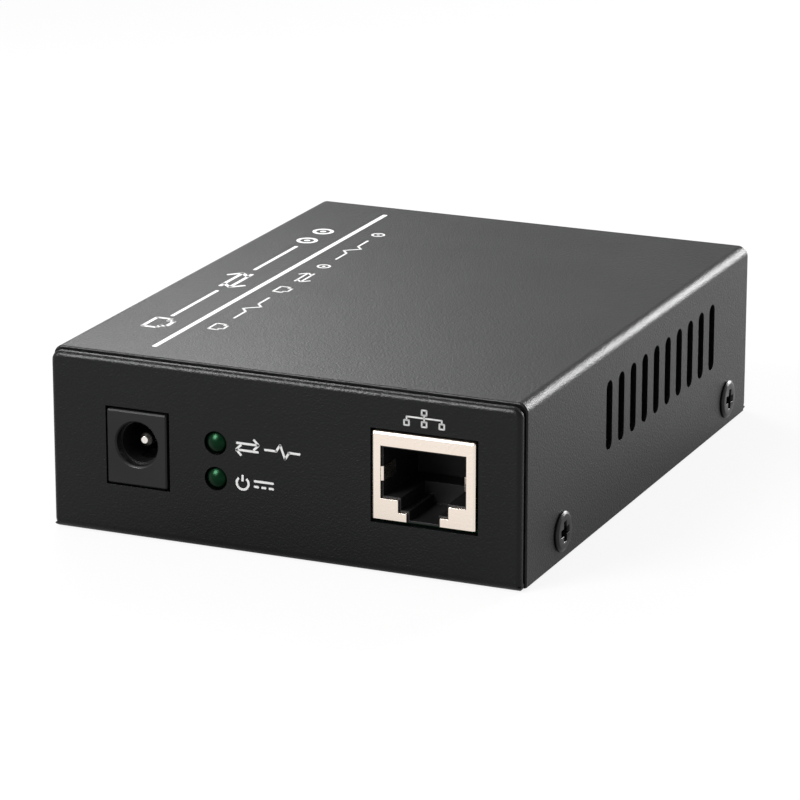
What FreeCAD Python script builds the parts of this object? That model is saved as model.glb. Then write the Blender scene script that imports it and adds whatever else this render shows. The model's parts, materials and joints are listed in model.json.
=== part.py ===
import FreeCAD, Part
import math
import os

# A desktop fibre media converter: a folded steel case around a board with one network socket,
# a power socket and two indicator lights in front, and two fibre ports behind.
# Millimetres. X runs across the case, Y from the front panel to the rear one, Z up.
# The origin is the middle of the underside, which the case stands on.

# ---------------------------------------------------------------- case
CASE_WIDTH = 73.0
CASE_DEPTH = 94.5
CASE_HEIGHT = 27.0
SHEET = 1.0
FOLD_INSIDE = 0.5           # inside radius of each fold
PANEL_FOOT_RADIUS = 0.7     # lower corners of the end panels
FOLD_RELIEF = 0.3           # slit between a tab's fold and the floor beside it
COVER_END_GAP = 0.6         # groove between the cover and each end panel
COVER_SIDE_PLAY = 0.15      # cover sides to the chassis between them
COVER_FOOT_GAP = 0.3        # cover sides stop this far above the underside

VENT_COUNT = 10
VENT_PITCH = 4.86
VENT_WIDTH = 2.4
VENT_LENGTH = 10.4
VENT_HEIGHT = 16.5          # middle of the slots above the underside
VENT_SHIFT = 7.7            # middle of the row behind the middle of the case

# ---------------------------------------------------------------- screws
THREAD_RADIUS = 1.45
TAPPED_RADIUS = 1.5
CLEARANCE_RADIUS = 1.7
COVER_SCREW_HEAD_RADIUS = 2.95
COVER_SCREW_HEAD = 0.5
COVER_SCREW_LENGTH = 3.2
BOARD_SCREW_HEAD_RADIUS = 2.7
BOARD_SCREW_HEAD = 1.8
BOARD_SCREW_LENGTH = 5.0
RECESS_SPAN = 2.9           # cross recess, tip to tip
RECESS_SLOT = 0.7
RECESS_DEPTH = 1.3
RECESS_FLOOR_SPAN = 1.2
RECESS_OVER = 0.2           # recess cutter above the head

SIDE_SCREW_HEIGHT = 4.55
FRONT_SCREW_SETBACK = 15.0  # behind the front panel's face
REAR_SCREW_SETBACK = 9.9    # ahead of the rear panel's face
TAB_LENGTH = 12.0           # upturned chassis tabs that take the side screws
TAB_OVER_SCREW = 4.0
TAB_CORNER = 1.5

# ---------------------------------------------------------------- board
STANDOFF_HEIGHT = 5.5
STANDOFF_ACROSS_FLATS = 5.0
SPIGOT_ACROSS_FLATS = 4.2   # hexagonal foot pressed into the floor
SPIGOT_PLAY = 0.05
SPIGOT_RECESS = 0.3         # foot ends this far inside the underside
STANDOFF_INSET = 3.0        # in from the board's sides
FRONT_STANDOFF_SETBACK = 36.5  # behind the board's front edge
REAR_STANDOFF_SETBACK = 6.5    # ahead of the board's rear edge
BOARD_THICKNESS = 1.6
BOARD_SIDE_GAP = 1.85       # board edge to the screw tabs
BOARD_END_GAP = 0.8         # board edge to the inside of each end panel
PIN_STICKOUT = 1.2          # solder tails below the board
HOLE_PLAY = 0.2             # round each tail in its board hole
BOARD_SEAT = 0.02           # body resting on the board

# ---------------------------------------------------------------- what both ends share
SOCKET_PROUD = 0.35         # sockets stand this far out of their panel
PANEL_CUT_GAP = 0.35        # cut-out round each socket

# ---------------------------------------------------------------- power socket
POWER_INSET = 14.0          # middle of the socket in from the left side of the case
POWER_WIDTH = 9.4
POWER_HEIGHT = 11.0
POWER_DEPTH = 14.2
POWER_FLANGE = 3.4
POWER_CHAMFER = 0.2
POWER_AXIS_HEIGHT = 6.15    # bore above the board
POWER_BORE_RADIUS = 3.25
POWER_MOUTH_LENGTH = 1.45
POWER_MOUTH_CHAMFER = 0.25
POWER_INNER_RADIUS = 3.0
POWER_BORE_DEPTH = 10.0
POWER_WALL = 1.1
POWER_PIN_RADIUS = 1.0
POWER_PIN_SETBACK = 2.5
POWER_SLOT_SETBACK = 3.7    # slot for the contacts behind the face
POWER_PIN_NOSE = 0.5
POWER_STRIP = 0.3
POWER_STRIP_WIDTH = 2.4
POWER_STRIP_PLAY = 0.3
POWER_LEAF_CREST = 2.5      # leaf's highest point behind its root
POWER_LEAF_HEEL = 5.0
POWER_SWITCH_DROP = 0.9     # switch contact below the bore
POWER_SWITCH_LENGTH = 3.4

# ---------------------------------------------------------------- network socket
NET_INSET = 14.7            # middle of the socket in from the right side of the case
NET_WIDTH = 15.5
NET_HEIGHT = 12.7
NET_DEPTH = 16.0
NET_LIFT = 0.15
SHIELD = 0.35
SHIELD_FOLD = 0.3
SHIELD_PLAY = 0.08
SHIELD_FACE_BREAK = 0.25    # chamfer round the face, less than the fold
NET_CUT_BELOW = 0.7         # panel cut-out below the shield
NET_OPEN_WIDTH = 12.9
NET_OPEN_HEIGHT = 7.7
NET_OPEN_TOP = 2.0          # frame above the opening
NET_STEP_WIDTH = 7.6
NET_STEP_DROP = 1.8
NET_LATCH_WIDTH = 5.05
NET_LIP = 0.3               # housing stands this far inside the shield's opening
NET_CAVITY_DEPTH = 12.6
NET_LATCH_DEPTH = 9.0
NET_FLOOR = 0.3
NET_CONTACTS = 8
NET_CONTACT_PITCH = 1.02
NET_CONTACT_WIRE = 0.4
NET_CONTACT_GROOVE = 0.6
NET_CONTACT_NOSE = 3.8      # bend of the wires behind the socket's face
NET_CONTACT_TIP = 10.8
NET_CONTACT_DIP = 3.2
NET_CONTACT_NOSE_ROOM = 1.2
NET_TAIL_INSET = 1.1
NET_SPRING_HEIGHT = 2.1
NET_SPRING_DROP = 4.1       # middle of the side springs below the opening's top
NET_SPRING_STRIP = 0.25
NET_SPRING_LENGTH = 4.2
NET_SPRING_CREST = 2.5      # furthest bow behind the face
NET_SPRING_ROOM = 0.5
NET_SPRING_BOW = 0.45
NET_LEG_WIDTH = 1.5
NET_LEG_SETBACKS = (6.0, 12.0)

# ---------------------------------------------------------------- indicator lights
LIGHT_SPACING = 12.3        # lights beside the middle of the power socket
LIGHT_HEIGHTS = (7.85, 2.6)  # above the board, link light first
LIGHT_RADIUS = 1.6
LIGHT_DOME_RADIUS = 1.9     # ball that the nose is part of
LIGHT_LENGTH = 5.55
LIGHT_PANEL_GAP = 0.15
LIGHT_PLAY = 0.08
HOLDER_WIDTH = 6.0
HOLDER_GAP = 0.3            # holder to the inside of the front panel
HOLDER_TOP = 2.7            # holder above the upper light's middle
LEAD = 0.5
LEAD_SPREAD = 1.27
LEAD_BEND = 2.2             # the upper light's leads turn down this far behind the holder
LEAD_BEND_STEP = 1.3        # and each lower light's this much nearer to it

# ---------------------------------------------------------------- fibre ports
FIBRE_MODULE_WIDTH = 25.4
FIBRE_MODULE_GAP = 1.8      # between the two transceivers
FIBRE_HEIGHT = 9.8
FIBRE_MODULE_DEPTH = 24.0
FIBRE_LIFT = 0.4
FIBRE_PORT_WIDTH = 13.0
FIBRE_PORT_DEPTH = 14.6
FIBRE_PORT_CHAMFER = 0.4
FIBRE_CAVITY_WIDTH = 9.1
FIBRE_CAVITY_HEIGHT = 7.5
FIBRE_KEY_WIDTH = 2.8
FIBRE_KEY_DEPTH = 0.7
FIBRE_HOLDER_PLAY = 0.05
FIBRE_HOLDER_FLANGE = 2.0
FIBRE_TUBE_RADIUS = 2.4
FIBRE_TUBE_SETBACK = 4.6    # tube's tip behind the port's face
SLEEVE_BORE_RADIUS = 1.25
SLEEVE_WALL = 0.35
SLEEVE_PLAY = 0.1
SLEEVE_SLIT = 0.4
SLEEVE_SETBACK = 0.5        # sleeve's end inside the tube's tip
HOOK_OFFSET = 2.95          # inner face of each latch hook from the port's axis
HOOK_STRIP = 0.8
HOOK_HEIGHT = 3.6
HOOK_BARB = 0.35
HOOK_BARB_CREST = 0.7       # behind the hook's tip
HOOK_BARB_LENGTH = 1.05
HOOK_SHORT = 0.8            # hooks end this far behind the tube's tip
FIBRE_PINS = 9
FIBRE_PIN_PITCH = 2.54
FIBRE_PIN = 0.5
FIBRE_PIN_INSET = 2.0
FIBRE_GROOVES = 3
FIBRE_GROOVE_WIDTH = 1.2
FIBRE_GROOVE_DEPTH = 0.5

# ---------------------------------------------------------------- parts on the board
CHIP_X = 1.5
CHIP_SETBACK = 33.5         # middle of the switch chip behind the board's front edge
CHIP_SIDE = 14.0
CHIP_HEIGHT = 1.4
CHIP_LIFT = 0.15
CHIP_BEVEL = 0.3
CHIP_LEAD_COUNT = 8         # on each side
CHIP_LEAD_PITCH = 1.3
CHIP_LEAD_WIDTH = 0.4
CHIP_LEAD_REACH = 1.4
CHIP_LEAD_SHEET = 0.2

TRANSFORMER_SIZE = (12.7, 9.2, 5.4)
TRANSFORMER_GAP = 1.6       # leads to the back of the network socket
TRANSFORMER_LEAD_COUNT = 8
TRANSFORMER_LEAD_HEIGHT = 1.8
TRANSFORMER_LEAD_PITCH = 1.27
TRANSFORMER_LEAD_WIDTH = 0.5

MEMORY_SIZE = (4.9, 3.9, 1.5)
MEMORY_SPACING = 16.0       # beside the switch chip
MEMORY_LEAD_COUNT = 4

REGULATOR_SIZE = (6.5, 3.5, 1.6)
REGULATOR_SHIFT = (6.5, 15.0)  # from the middle of the power socket's back
REGULATOR_LEAD_COUNT = 3
REGULATOR_LEAD_PITCH = 2.3
REGULATOR_LEAD_WIDTH = 0.75
REGULATOR_TAB_WIDTH = 3.0

CRYSTAL_SIZE = (11.0, 4.6, 3.6)
CRYSTAL_SHIFT = (-15.5, 5.0)  # from the middle of the switch chip

INDUCTOR_SIDE = 8.0
INDUCTOR_HEIGHT = 4.2
INDUCTOR_CORNER = 1.2
INDUCTOR_SHIFT = (-3.0, 6.6)  # from the middle of the power socket's back

CAPACITOR_SHIFTS = ((6.0, 6.6), (-2.5, 16.0))  # likewise
CAPACITOR_RADIUS = 3.15
CAPACITOR_HEIGHT = 5.4
CAPACITOR_BASE_RIM = 0.15
CAPACITOR_BASE_CORNER = 1.1
CAPACITOR_BASE_HEIGHT = 0.9

SMALL_PART_PITCH = 3.0
RESISTOR_SIZE = (1.6, 0.8, 0.5)
RESISTOR_COUNT = 5          # in each row
RESISTOR_SETBACKS = (12.0, 18.0)  # rows behind the board's front edge
CHIP_CAPACITOR_SIZE = (2.0, 1.25, 1.0)
CHIP_CAPACITOR_COUNT = 4
CHIP_CAPACITOR_GAP = 2.4    # row ahead of the transceivers

# ---------------------------------------------------------------- places worked out from the sizes
FRONT = -CASE_DEPTH / 2
REAR = CASE_DEPTH / 2
CHASSIS_HALF = CASE_WIDTH / 2 - SHEET - COVER_SIDE_PLAY
TAB_ROOT = CHASSIS_HALF - SHEET - FOLD_INSIDE - FOLD_RELIEF
COVER_FRONT = FRONT + SHEET + COVER_END_GAP
COVER_REAR = REAR - SHEET - COVER_END_GAP
BOARD_UNDER = SHEET + STANDOFF_HEIGHT
BOARD_TOP = BOARD_UNDER + BOARD_THICKNESS
BOARD_HALF = CHASSIS_HALF - SHEET - BOARD_SIDE_GAP
BOARD_SEATED = BOARD_TOP + BOARD_SEAT
BOARD_FRONT = FRONT + SHEET + BOARD_END_GAP
BOARD_REAR = REAR - SHEET - BOARD_END_GAP
TAIL_END = BOARD_UNDER - PIN_STICKOUT
SOCKET_FACE = FRONT - SOCKET_PROUD
PORT_FACE = REAR + SOCKET_PROUD
SIDE_SCREW_PLACES = (FRONT + FRONT_SCREW_SETBACK, REAR - REAR_SCREW_SETBACK)
SIDE_SCREWS = [(side, y) for side in (-1, 1) for y in SIDE_SCREW_PLACES]
STANDOFF_PLACES = [
    (side * (BOARD_HALF - STANDOFF_INSET), y)
    for side in (-1, 1)
    for y in (BOARD_FRONT + FRONT_STANDOFF_SETBACK, BOARD_REAR - REAR_STANDOFF_SETBACK)
]

POWER_X = POWER_INSET - CASE_WIDTH / 2
POWER_AXIS = BOARD_TOP + POWER_AXIS_HEIGHT
POWER_BACK = SOCKET_FACE + POWER_DEPTH

NET_X = CASE_WIDTH / 2 - NET_INSET
NET_UNDER = BOARD_TOP + NET_LIFT
NET_TOP = NET_UNDER + NET_HEIGHT
NET_BACK = SOCKET_FACE + NET_DEPTH
NET_OPENING_TOP = NET_TOP - NET_OPEN_TOP
NET_OPENING_FLOOR = NET_OPENING_TOP - NET_OPEN_HEIGHT
NET_STEP_FLOOR = NET_OPENING_FLOOR - NET_STEP_DROP
NET_WIRE_ROOF = NET_OPENING_TOP + NET_CONTACT_WIRE
NET_TAIL_Y = NET_BACK - SHIELD - NET_TAIL_INSET
NET_CONTACT_PLACES = [
    NET_X + (index - (NET_CONTACTS - 1) / 2) * NET_CONTACT_PITCH for index in range(NET_CONTACTS)
]

LIGHT_X = POWER_X + LIGHT_SPACING
LIGHT_BACK = SOCKET_FACE + LIGHT_LENGTH
HOLDER_FRONT = FRONT + SHEET + HOLDER_GAP

FIBRE_X = (FIBRE_MODULE_WIDTH + FIBRE_MODULE_GAP) / 2
FIBRE_UNDER = BOARD_TOP + FIBRE_LIFT
FIBRE_AXIS = FIBRE_UNDER + FIBRE_HEIGHT / 2
PORT_BACK = PORT_FACE - FIBRE_PORT_DEPTH
MODULE_BACK = PORT_BACK - FIBRE_MODULE_DEPTH
SLEEVE_RADIUS = SLEEVE_BORE_RADIUS + SLEEVE_WALL
HOLDER_SEAT = PORT_BACK + FIBRE_HOLDER_FLANGE
TUBE_TIP = PORT_FACE - FIBRE_TUBE_SETBACK
FIBRE_PIN_Y = MODULE_BACK + FIBRE_PIN_INSET
FIBRE_PIN_OFFSETS = [(index - (FIBRE_PINS - 1) / 2) * FIBRE_PIN_PITCH for index in range(FIBRE_PINS)]

CHIP_CENTRE = (CHIP_X, BOARD_FRONT + CHIP_SETBACK)
TRANSFORMER_CENTRE = (NET_X, NET_BACK + TRANSFORMER_GAP + CHIP_LEAD_REACH + TRANSFORMER_SIZE[1] / 2)
MEMORY_CENTRE = (CHIP_CENTRE[0] + MEMORY_SPACING, CHIP_CENTRE[1])
REGULATOR_CENTRE = (POWER_X + REGULATOR_SHIFT[0], POWER_BACK + REGULATOR_SHIFT[1])
CRYSTAL_CENTRE = (CHIP_CENTRE[0] + CRYSTAL_SHIFT[0], CHIP_CENTRE[1] + CRYSTAL_SHIFT[1])
INDUCTOR_CENTRE = (POWER_X + INDUCTOR_SHIFT[0], POWER_BACK + INDUCTOR_SHIFT[1])
CAPACITOR_PLACES = [(POWER_X + x, POWER_BACK + y) for x, y in CAPACITOR_SHIFTS]

Vector = FreeCAD.Vector
UP = Vector(0, 0, 1)
OVERCUT = 1.0               # cutters reach this far past what they cut
NEAR = 1e-4                 # lengths this close count as equal


# ---------------------------------------------------------------- shaping
def at(axis, u, v, w):
    """Point at w along an axis, with u and v across it in X, Y, Z order."""
    if axis == "X":
        return Vector(w, u, v)
    if axis == "Y":
        return Vector(u, w, v)
    return Vector(u, v, w)


def rounded_wire(corners, axis, w):
    """Closed wire through (u, v, radius) corners, in the plane at w along an axis."""
    points = [at(axis, u, v, w) for u, v, _ in corners]
    bends = []
    for index, (_, _, radius) in enumerate(corners):
        here = points[index]
        if radius <= 0:
            bends.append((here, here, here))
            continue
        back = (points[index - 1] - here).normalize()
        ahead = (points[(index + 1) % len(points)] - here).normalize()
        half_angle = back.getAngle(ahead) / 2
        reach = radius / math.tan(half_angle)
        inward = (back + ahead).normalize()
        middle = here + inward * (radius / math.sin(half_angle) - radius)
        bends.append((here + back * reach, middle, here + ahead * reach))
    edges = []
    for index, (start, middle, end) in enumerate(bends):
        if (end - start).Length > NEAR:
            edges.append(Part.Arc(start, middle, end).toShape())
        following = bends[(index + 1) % len(bends)][0]
        if (following - end).Length > NEAR:
            edges.append(Part.LineSegment(end, following).toShape())
    return Part.Wire(edges)


def prism(corners, axis, start, end):
    """Solid with a rounded outline, drawn along an axis from start to end."""
    return Part.Face(rounded_wire(corners, axis, start)).extrude(at(axis, 0, 0, end - start))


def rectangle(u_low, u_high, v_low, v_high, radius=0.0):
    """Corners of an upright rectangle, each with the same radius."""
    places = [(u_low, v_low), (u_high, v_low), (u_high, v_high), (u_low, v_high)]
    return [(u, v, radius) for u, v in places]


def box(x_low, x_high, y_low, y_high, z_low, z_high):
    return Part.makeBox(x_high - x_low, y_high - y_low, z_high - z_low, Vector(x_low, y_low, z_low))


def centred_box(x, y, width, depth, z_low, z_high):
    """Box about a place on the board, between two heights."""
    return box(x - width / 2, x + width / 2, y - depth / 2, y + depth / 2, z_low, z_high)


def hexagon(across_flats):
    corner = across_flats / math.sqrt(3)
    turns = [index * math.pi / 3 for index in range(6)]
    return [(corner * math.cos(turn), corner * math.sin(turn), 0.0) for turn in turns]


def rod(axis, u, v, radius, start, end):
    return Part.makeCylinder(radius, end - start, at(axis, u, v, start), at(axis, 0, 0, 1))


def turned(corners):
    """Solid turned about Z from (radius, height, corner radius) points."""
    return Part.Face(rounded_wire(corners, "Y", 0)).revolve(Vector(0, 0, 0), UP, 360)


def seated(shape, place, direction):
    """Copy of a shape modelled about +Z, set at a place and pointing along a direction."""
    copy = shape.copy()
    copy.Placement = FreeCAD.Placement(place, FreeCAD.Rotation(UP, direction))
    return copy


def direction_between(start, end):
    along = Vector(end[0] - start[0], end[1] - start[1], 0)
    return along.normalize()


def strip(path, thickness, bend, axis, start, end):
    """Folded strip: a centre line with a thickness and inside bend radius, drawn along an axis."""
    left = []
    right = []
    last = len(path) - 1
    for index, (u, v) in enumerate(path):
        before = direction_between(path[max(index - 1, 0)], path[max(index, 1)])
        after = direction_between(path[min(index, last - 1)], path[min(index + 1, last)])
        tangent = (before + after).normalize()
        shift = thickness / 2 / tangent.dot(before)
        turn = before.x * after.y - before.y * after.x
        left_radius = 0.0
        right_radius = 0.0
        if bend > 0 and abs(turn) > NEAR:
            left_radius = bend if turn > 0 else bend + thickness
            right_radius = bend + thickness if turn > 0 else bend
        left.append((u - tangent.y * shift, v + tangent.x * shift, left_radius))
        right.append((u + tangent.y * shift, v - tangent.x * shift, right_radius))
    return prism(left + right[::-1], axis, start, end)


def joined(shapes):
    return shapes[0].fuse(shapes[1:]).removeSplitter()


def cut(shape, tools):
    return shape.cut(tools).removeSplitter()


def eased(shape, size, chosen):
    """Shape with a small chamfer on the edges that a test picks."""
    return shape.makeChamfer(size, [edge for edge in shape.Edges if chosen(edge)])


def lies_at(edge, axis_name, place):
    """Whether a whole edge lies in the plane at a place along an axis."""
    bounds = edge.BoundBox
    low = getattr(bounds, axis_name + "Min")
    high = getattr(bounds, axis_name + "Max")
    return abs(low - place) < NEAR and abs(high - place) < NEAR


# ---------------------------------------------------------------- case
def end_outline():
    """Outline of both end panels, with the cover's rounded shoulders and small rounds at the foot."""
    half = CASE_WIDTH / 2
    shoulder = FOLD_INSIDE + SHEET
    return [
        (-half, 0.0, PANEL_FOOT_RADIUS),
        (half, 0.0, PANEL_FOOT_RADIUS),
        (half, CASE_HEIGHT, shoulder),
        (-half, CASE_HEIGHT, shoulder),
    ]


def floor_trim(side):
    """What the floor loses between the end folds, where the cover's side comes down past it."""
    fold = FOLD_INSIDE + SHEET
    ends = sorted((side * CHASSIS_HALF, side * (CASE_WIDTH / 2 + OVERCUT)))
    return box(*ends, FRONT + fold, REAR - fold, -OVERCUT, SHEET + OVERCUT)


def side_tab(side, screw_y):
    """Upturned tab inside the cover's side, tapped for its screw."""
    top = SIDE_SCREW_HEIGHT + TAB_OVER_SCREW
    middle = CHASSIS_HALF - SHEET / 2
    path = [(side * TAB_ROOT, SHEET / 2), (side * middle, SHEET / 2), (side * middle, top)]
    tab = strip(path, SHEET, FOLD_INSIDE, "Y", screw_y - TAB_LENGTH / 2, screw_y + TAB_LENGTH / 2)
    return eased(tab, TAB_CORNER, lambda edge: lies_at(edge, "Z", top) and edge.BoundBox.YLength < NEAR)


def tab_relief(side, screw_y):
    """What the floor loses where a tab folds up, with a slit at each end of the fold."""
    ends = sorted((side * TAB_ROOT, side * (CHASSIS_HALF + OVERCUT)))
    reach = TAB_LENGTH / 2 + FOLD_RELIEF
    return box(*ends, screw_y - reach, screw_y + reach, -OVERCUT, SHEET + OVERCUT)


def power_cutout():
    half = POWER_WIDTH / 2 + PANEL_CUT_GAP
    return box(
        POWER_X - half, POWER_X + half, FRONT - OVERCUT, FRONT + SHEET + OVERCUT,
        BOARD_TOP - PANEL_CUT_GAP, BOARD_TOP + POWER_HEIGHT + PANEL_CUT_GAP,
    )


def network_cutout():
    half = NET_WIDTH / 2 + PANEL_CUT_GAP
    return box(
        NET_X - half, NET_X + half, FRONT - OVERCUT, FRONT + SHEET + OVERCUT,
        NET_UNDER - NET_CUT_BELOW, NET_TOP + PANEL_CUT_GAP,
    )


def light_cutout(height):
    radius = LIGHT_RADIUS + LIGHT_PANEL_GAP
    return rod("Y", LIGHT_X, BOARD_TOP + height, radius, FRONT - OVERCUT, FRONT + SHEET + OVERCUT)


def fibre_cutout(x):
    half = FIBRE_PORT_WIDTH / 2 + PANEL_CUT_GAP
    return box(
        x - half, x + half, REAR - SHEET - OVERCUT, REAR + OVERCUT,
        FIBRE_UNDER - PANEL_CUT_GAP, FIBRE_UNDER + FIBRE_HEIGHT + PANEL_CUT_GAP,
    )


def base_chassis():
    """Floor, front panel, rear panel and four screw tabs, folded from one sheet."""
    half_sheet = SHEET / 2
    half = CASE_WIDTH / 2
    path = [
        (FRONT + half_sheet, CASE_HEIGHT), (FRONT + half_sheet, half_sheet),
        (REAR - half_sheet, half_sheet), (REAR - half_sheet, CASE_HEIGHT),
    ]
    folded = strip(path, SHEET, FOLD_INSIDE, "X", -half, half)
    folded = folded.common(prism(end_outline(), "Y", FRONT, REAR))
    trims = [floor_trim(side) for side in (-1, 1)]
    trims += [tab_relief(side, y) for side, y in SIDE_SCREWS]
    folded = cut(folded, trims)
    chassis = joined([folded] + [side_tab(side, y) for side, y in SIDE_SCREWS])
    holes = [power_cutout(), network_cutout()]
    holes += [light_cutout(height) for height in LIGHT_HEIGHTS]
    holes += [fibre_cutout(side * FIBRE_X) for side in (-1, 1)]
    reach = CASE_WIDTH / 2
    holes += [rod("X", y, SIDE_SCREW_HEIGHT, TAPPED_RADIUS, -reach, reach) for y in SIDE_SCREW_PLACES]
    spigot_hole = prism(hexagon(SPIGOT_ACROSS_FLATS + 2 * SPIGOT_PLAY), "Z", -OVERCUT, SHEET + OVERCUT)
    holes += [seated(spigot_hole, Vector(x, y, 0), UP) for x, y in STANDOFF_PLACES]
    return cut(chassis, holes)


def vent_slot(place):
    """One upright slot with round ends, through both sides of the cover."""
    corners = rectangle(
        place - VENT_WIDTH / 2, place + VENT_WIDTH / 2,
        VENT_HEIGHT - VENT_LENGTH / 2, VENT_HEIGHT + VENT_LENGTH / 2,
        VENT_WIDTH / 2,
    )
    reach = CASE_WIDTH / 2 + OVERCUT
    return prism(corners, "X", -reach, reach)


def top_cover():
    """Top and both sides, folded from one sheet, with a row of vent slots in each side."""
    half = (CASE_WIDTH - SHEET) / 2
    top = CASE_HEIGHT - SHEET / 2
    path = [(-half, COVER_FOOT_GAP), (-half, top), (half, top), (half, COVER_FOOT_GAP)]
    cover = strip(path, SHEET, FOLD_INSIDE, "Y", COVER_FRONT, COVER_REAR)
    middle = (VENT_COUNT - 1) / 2
    slots = [vent_slot(VENT_SHIFT + (index - middle) * VENT_PITCH) for index in range(VENT_COUNT)]
    reach = CASE_WIDTH / 2 + OVERCUT
    holes = [rod("X", y, SIDE_SCREW_HEIGHT, CLEARANCE_RADIUS, -reach, reach) for y in SIDE_SCREW_PLACES]
    return cut(cover, slots + holes)


# ---------------------------------------------------------------- screws and standoffs
def screw(head_radius, head_height, length):
    """Machine screw, head upwards, its seat at the origin."""
    return turned([
        (0.0, -length, 0.0), (THREAD_RADIUS, -length, 0.0), (THREAD_RADIUS, 0.0, 0.0),
        (head_radius, 0.0, 0.0), (head_radius, head_height, 0.0), (0.0, head_height, 0.0),
    ])


def cross_recess(head_height):
    """Two tapered blades, crossed, that sink the driver's recess into a head."""
    top = head_height + RECESS_OVER
    bottom = head_height - RECESS_DEPTH
    half = RECESS_SPAN / 2
    half_floor = RECESS_FLOOR_SPAN / 2
    outline = [(-half_floor, bottom, 0.0), (half_floor, bottom, 0.0), (half, top, 0.0), (-half, top, 0.0)]
    blade = prism(outline, "Y", -RECESS_SLOT / 2, RECESS_SLOT / 2)
    crossed = blade.copy()
    crossed.rotate(Vector(0, 0, 0), UP, 90)
    return [blade, crossed]


def cover_screws():
    """Two flat-headed screws in each side of the cover."""
    plain = screw(COVER_SCREW_HEAD_RADIUS, COVER_SCREW_HEAD, COVER_SCREW_LENGTH)
    pattern = cut(plain, cross_recess(COVER_SCREW_HEAD))
    reach = CASE_WIDTH / 2
    return Part.makeCompound([
        seated(pattern, Vector(side * reach, y, SIDE_SCREW_HEIGHT), Vector(side, 0, 0))
        for side, y in SIDE_SCREWS
    ])


def board_standoffs():
    """Hexagonal threaded standoffs, each pressed into the floor by a smaller hexagonal foot."""
    column = prism(hexagon(STANDOFF_ACROSS_FLATS), "Z", SHEET, BOARD_UNDER)
    spigot = prism(hexagon(SPIGOT_ACROSS_FLATS), "Z", SPIGOT_RECESS, SHEET + OVERCUT)
    thread = rod("Z", 0, 0, TAPPED_RADIUS, SHEET, BOARD_UNDER + OVERCUT)
    pattern = cut(joined([column, spigot]), [thread])
    return Part.makeCompound([seated(pattern, Vector(x, y, 0), UP) for x, y in STANDOFF_PLACES])


def board_screws():
    pattern = screw(BOARD_SCREW_HEAD_RADIUS, BOARD_SCREW_HEAD, BOARD_SCREW_LENGTH)
    return Part.makeCompound([seated(pattern, Vector(x, y, BOARD_TOP), UP) for x, y in STANDOFF_PLACES])


# ---------------------------------------------------------------- board
def tail_hole(x, y, width, depth):
    """Slot that takes a solder tail of a width along X and a depth along Y."""
    play = 2 * HOLE_PLAY
    return centred_box(x, y, width + play, depth + play, BOARD_UNDER - OVERCUT, BOARD_TOP + OVERCUT)


def circuit_board():
    """Fibreglass board, drilled for its screws and every solder tail."""
    board = box(-BOARD_HALF, BOARD_HALF, BOARD_FRONT, BOARD_REAR, BOARD_UNDER, BOARD_TOP)
    ends = (BOARD_UNDER - OVERCUT, BOARD_TOP + OVERCUT)
    holes = [rod("Z", x, y, CLEARANCE_RADIUS, *ends) for x, y in STANDOFF_PLACES]
    holes += [tail_hole(x, NET_TAIL_Y, NET_CONTACT_WIRE, NET_CONTACT_WIRE) for x in NET_CONTACT_PLACES]
    holes += [tail_hole(x, y, SHIELD, NET_LEG_WIDTH) for x, y in shield_leg_places()]
    holes += [tail_hole(POWER_X, y, POWER_STRIP_WIDTH, POWER_STRIP) for y in power_tail_places()]
    holes += [tail_hole(x, y, LEAD, LEAD) for x, y, _ in light_lead_places()]
    pin_places = [side * FIBRE_X + offset for side in (-1, 1) for offset in FIBRE_PIN_OFFSETS]
    holes += [tail_hole(x, FIBRE_PIN_Y, FIBRE_PIN, FIBRE_PIN) for x in pin_places]
    return cut(board, holes)


# ---------------------------------------------------------------- power socket
def power_tail_places():
    """Where the pin, the spring and the switch contact come down into the board, rear first."""
    rear = POWER_BACK + POWER_STRIP / 2 + BOARD_SEAT
    spring = SOCKET_FACE + POWER_BORE_DEPTH + POWER_WALL
    switch = SOCKET_FACE + POWER_FLANGE + POWER_WALL + POWER_STRIP
    return (rear, spring, switch)


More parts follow.
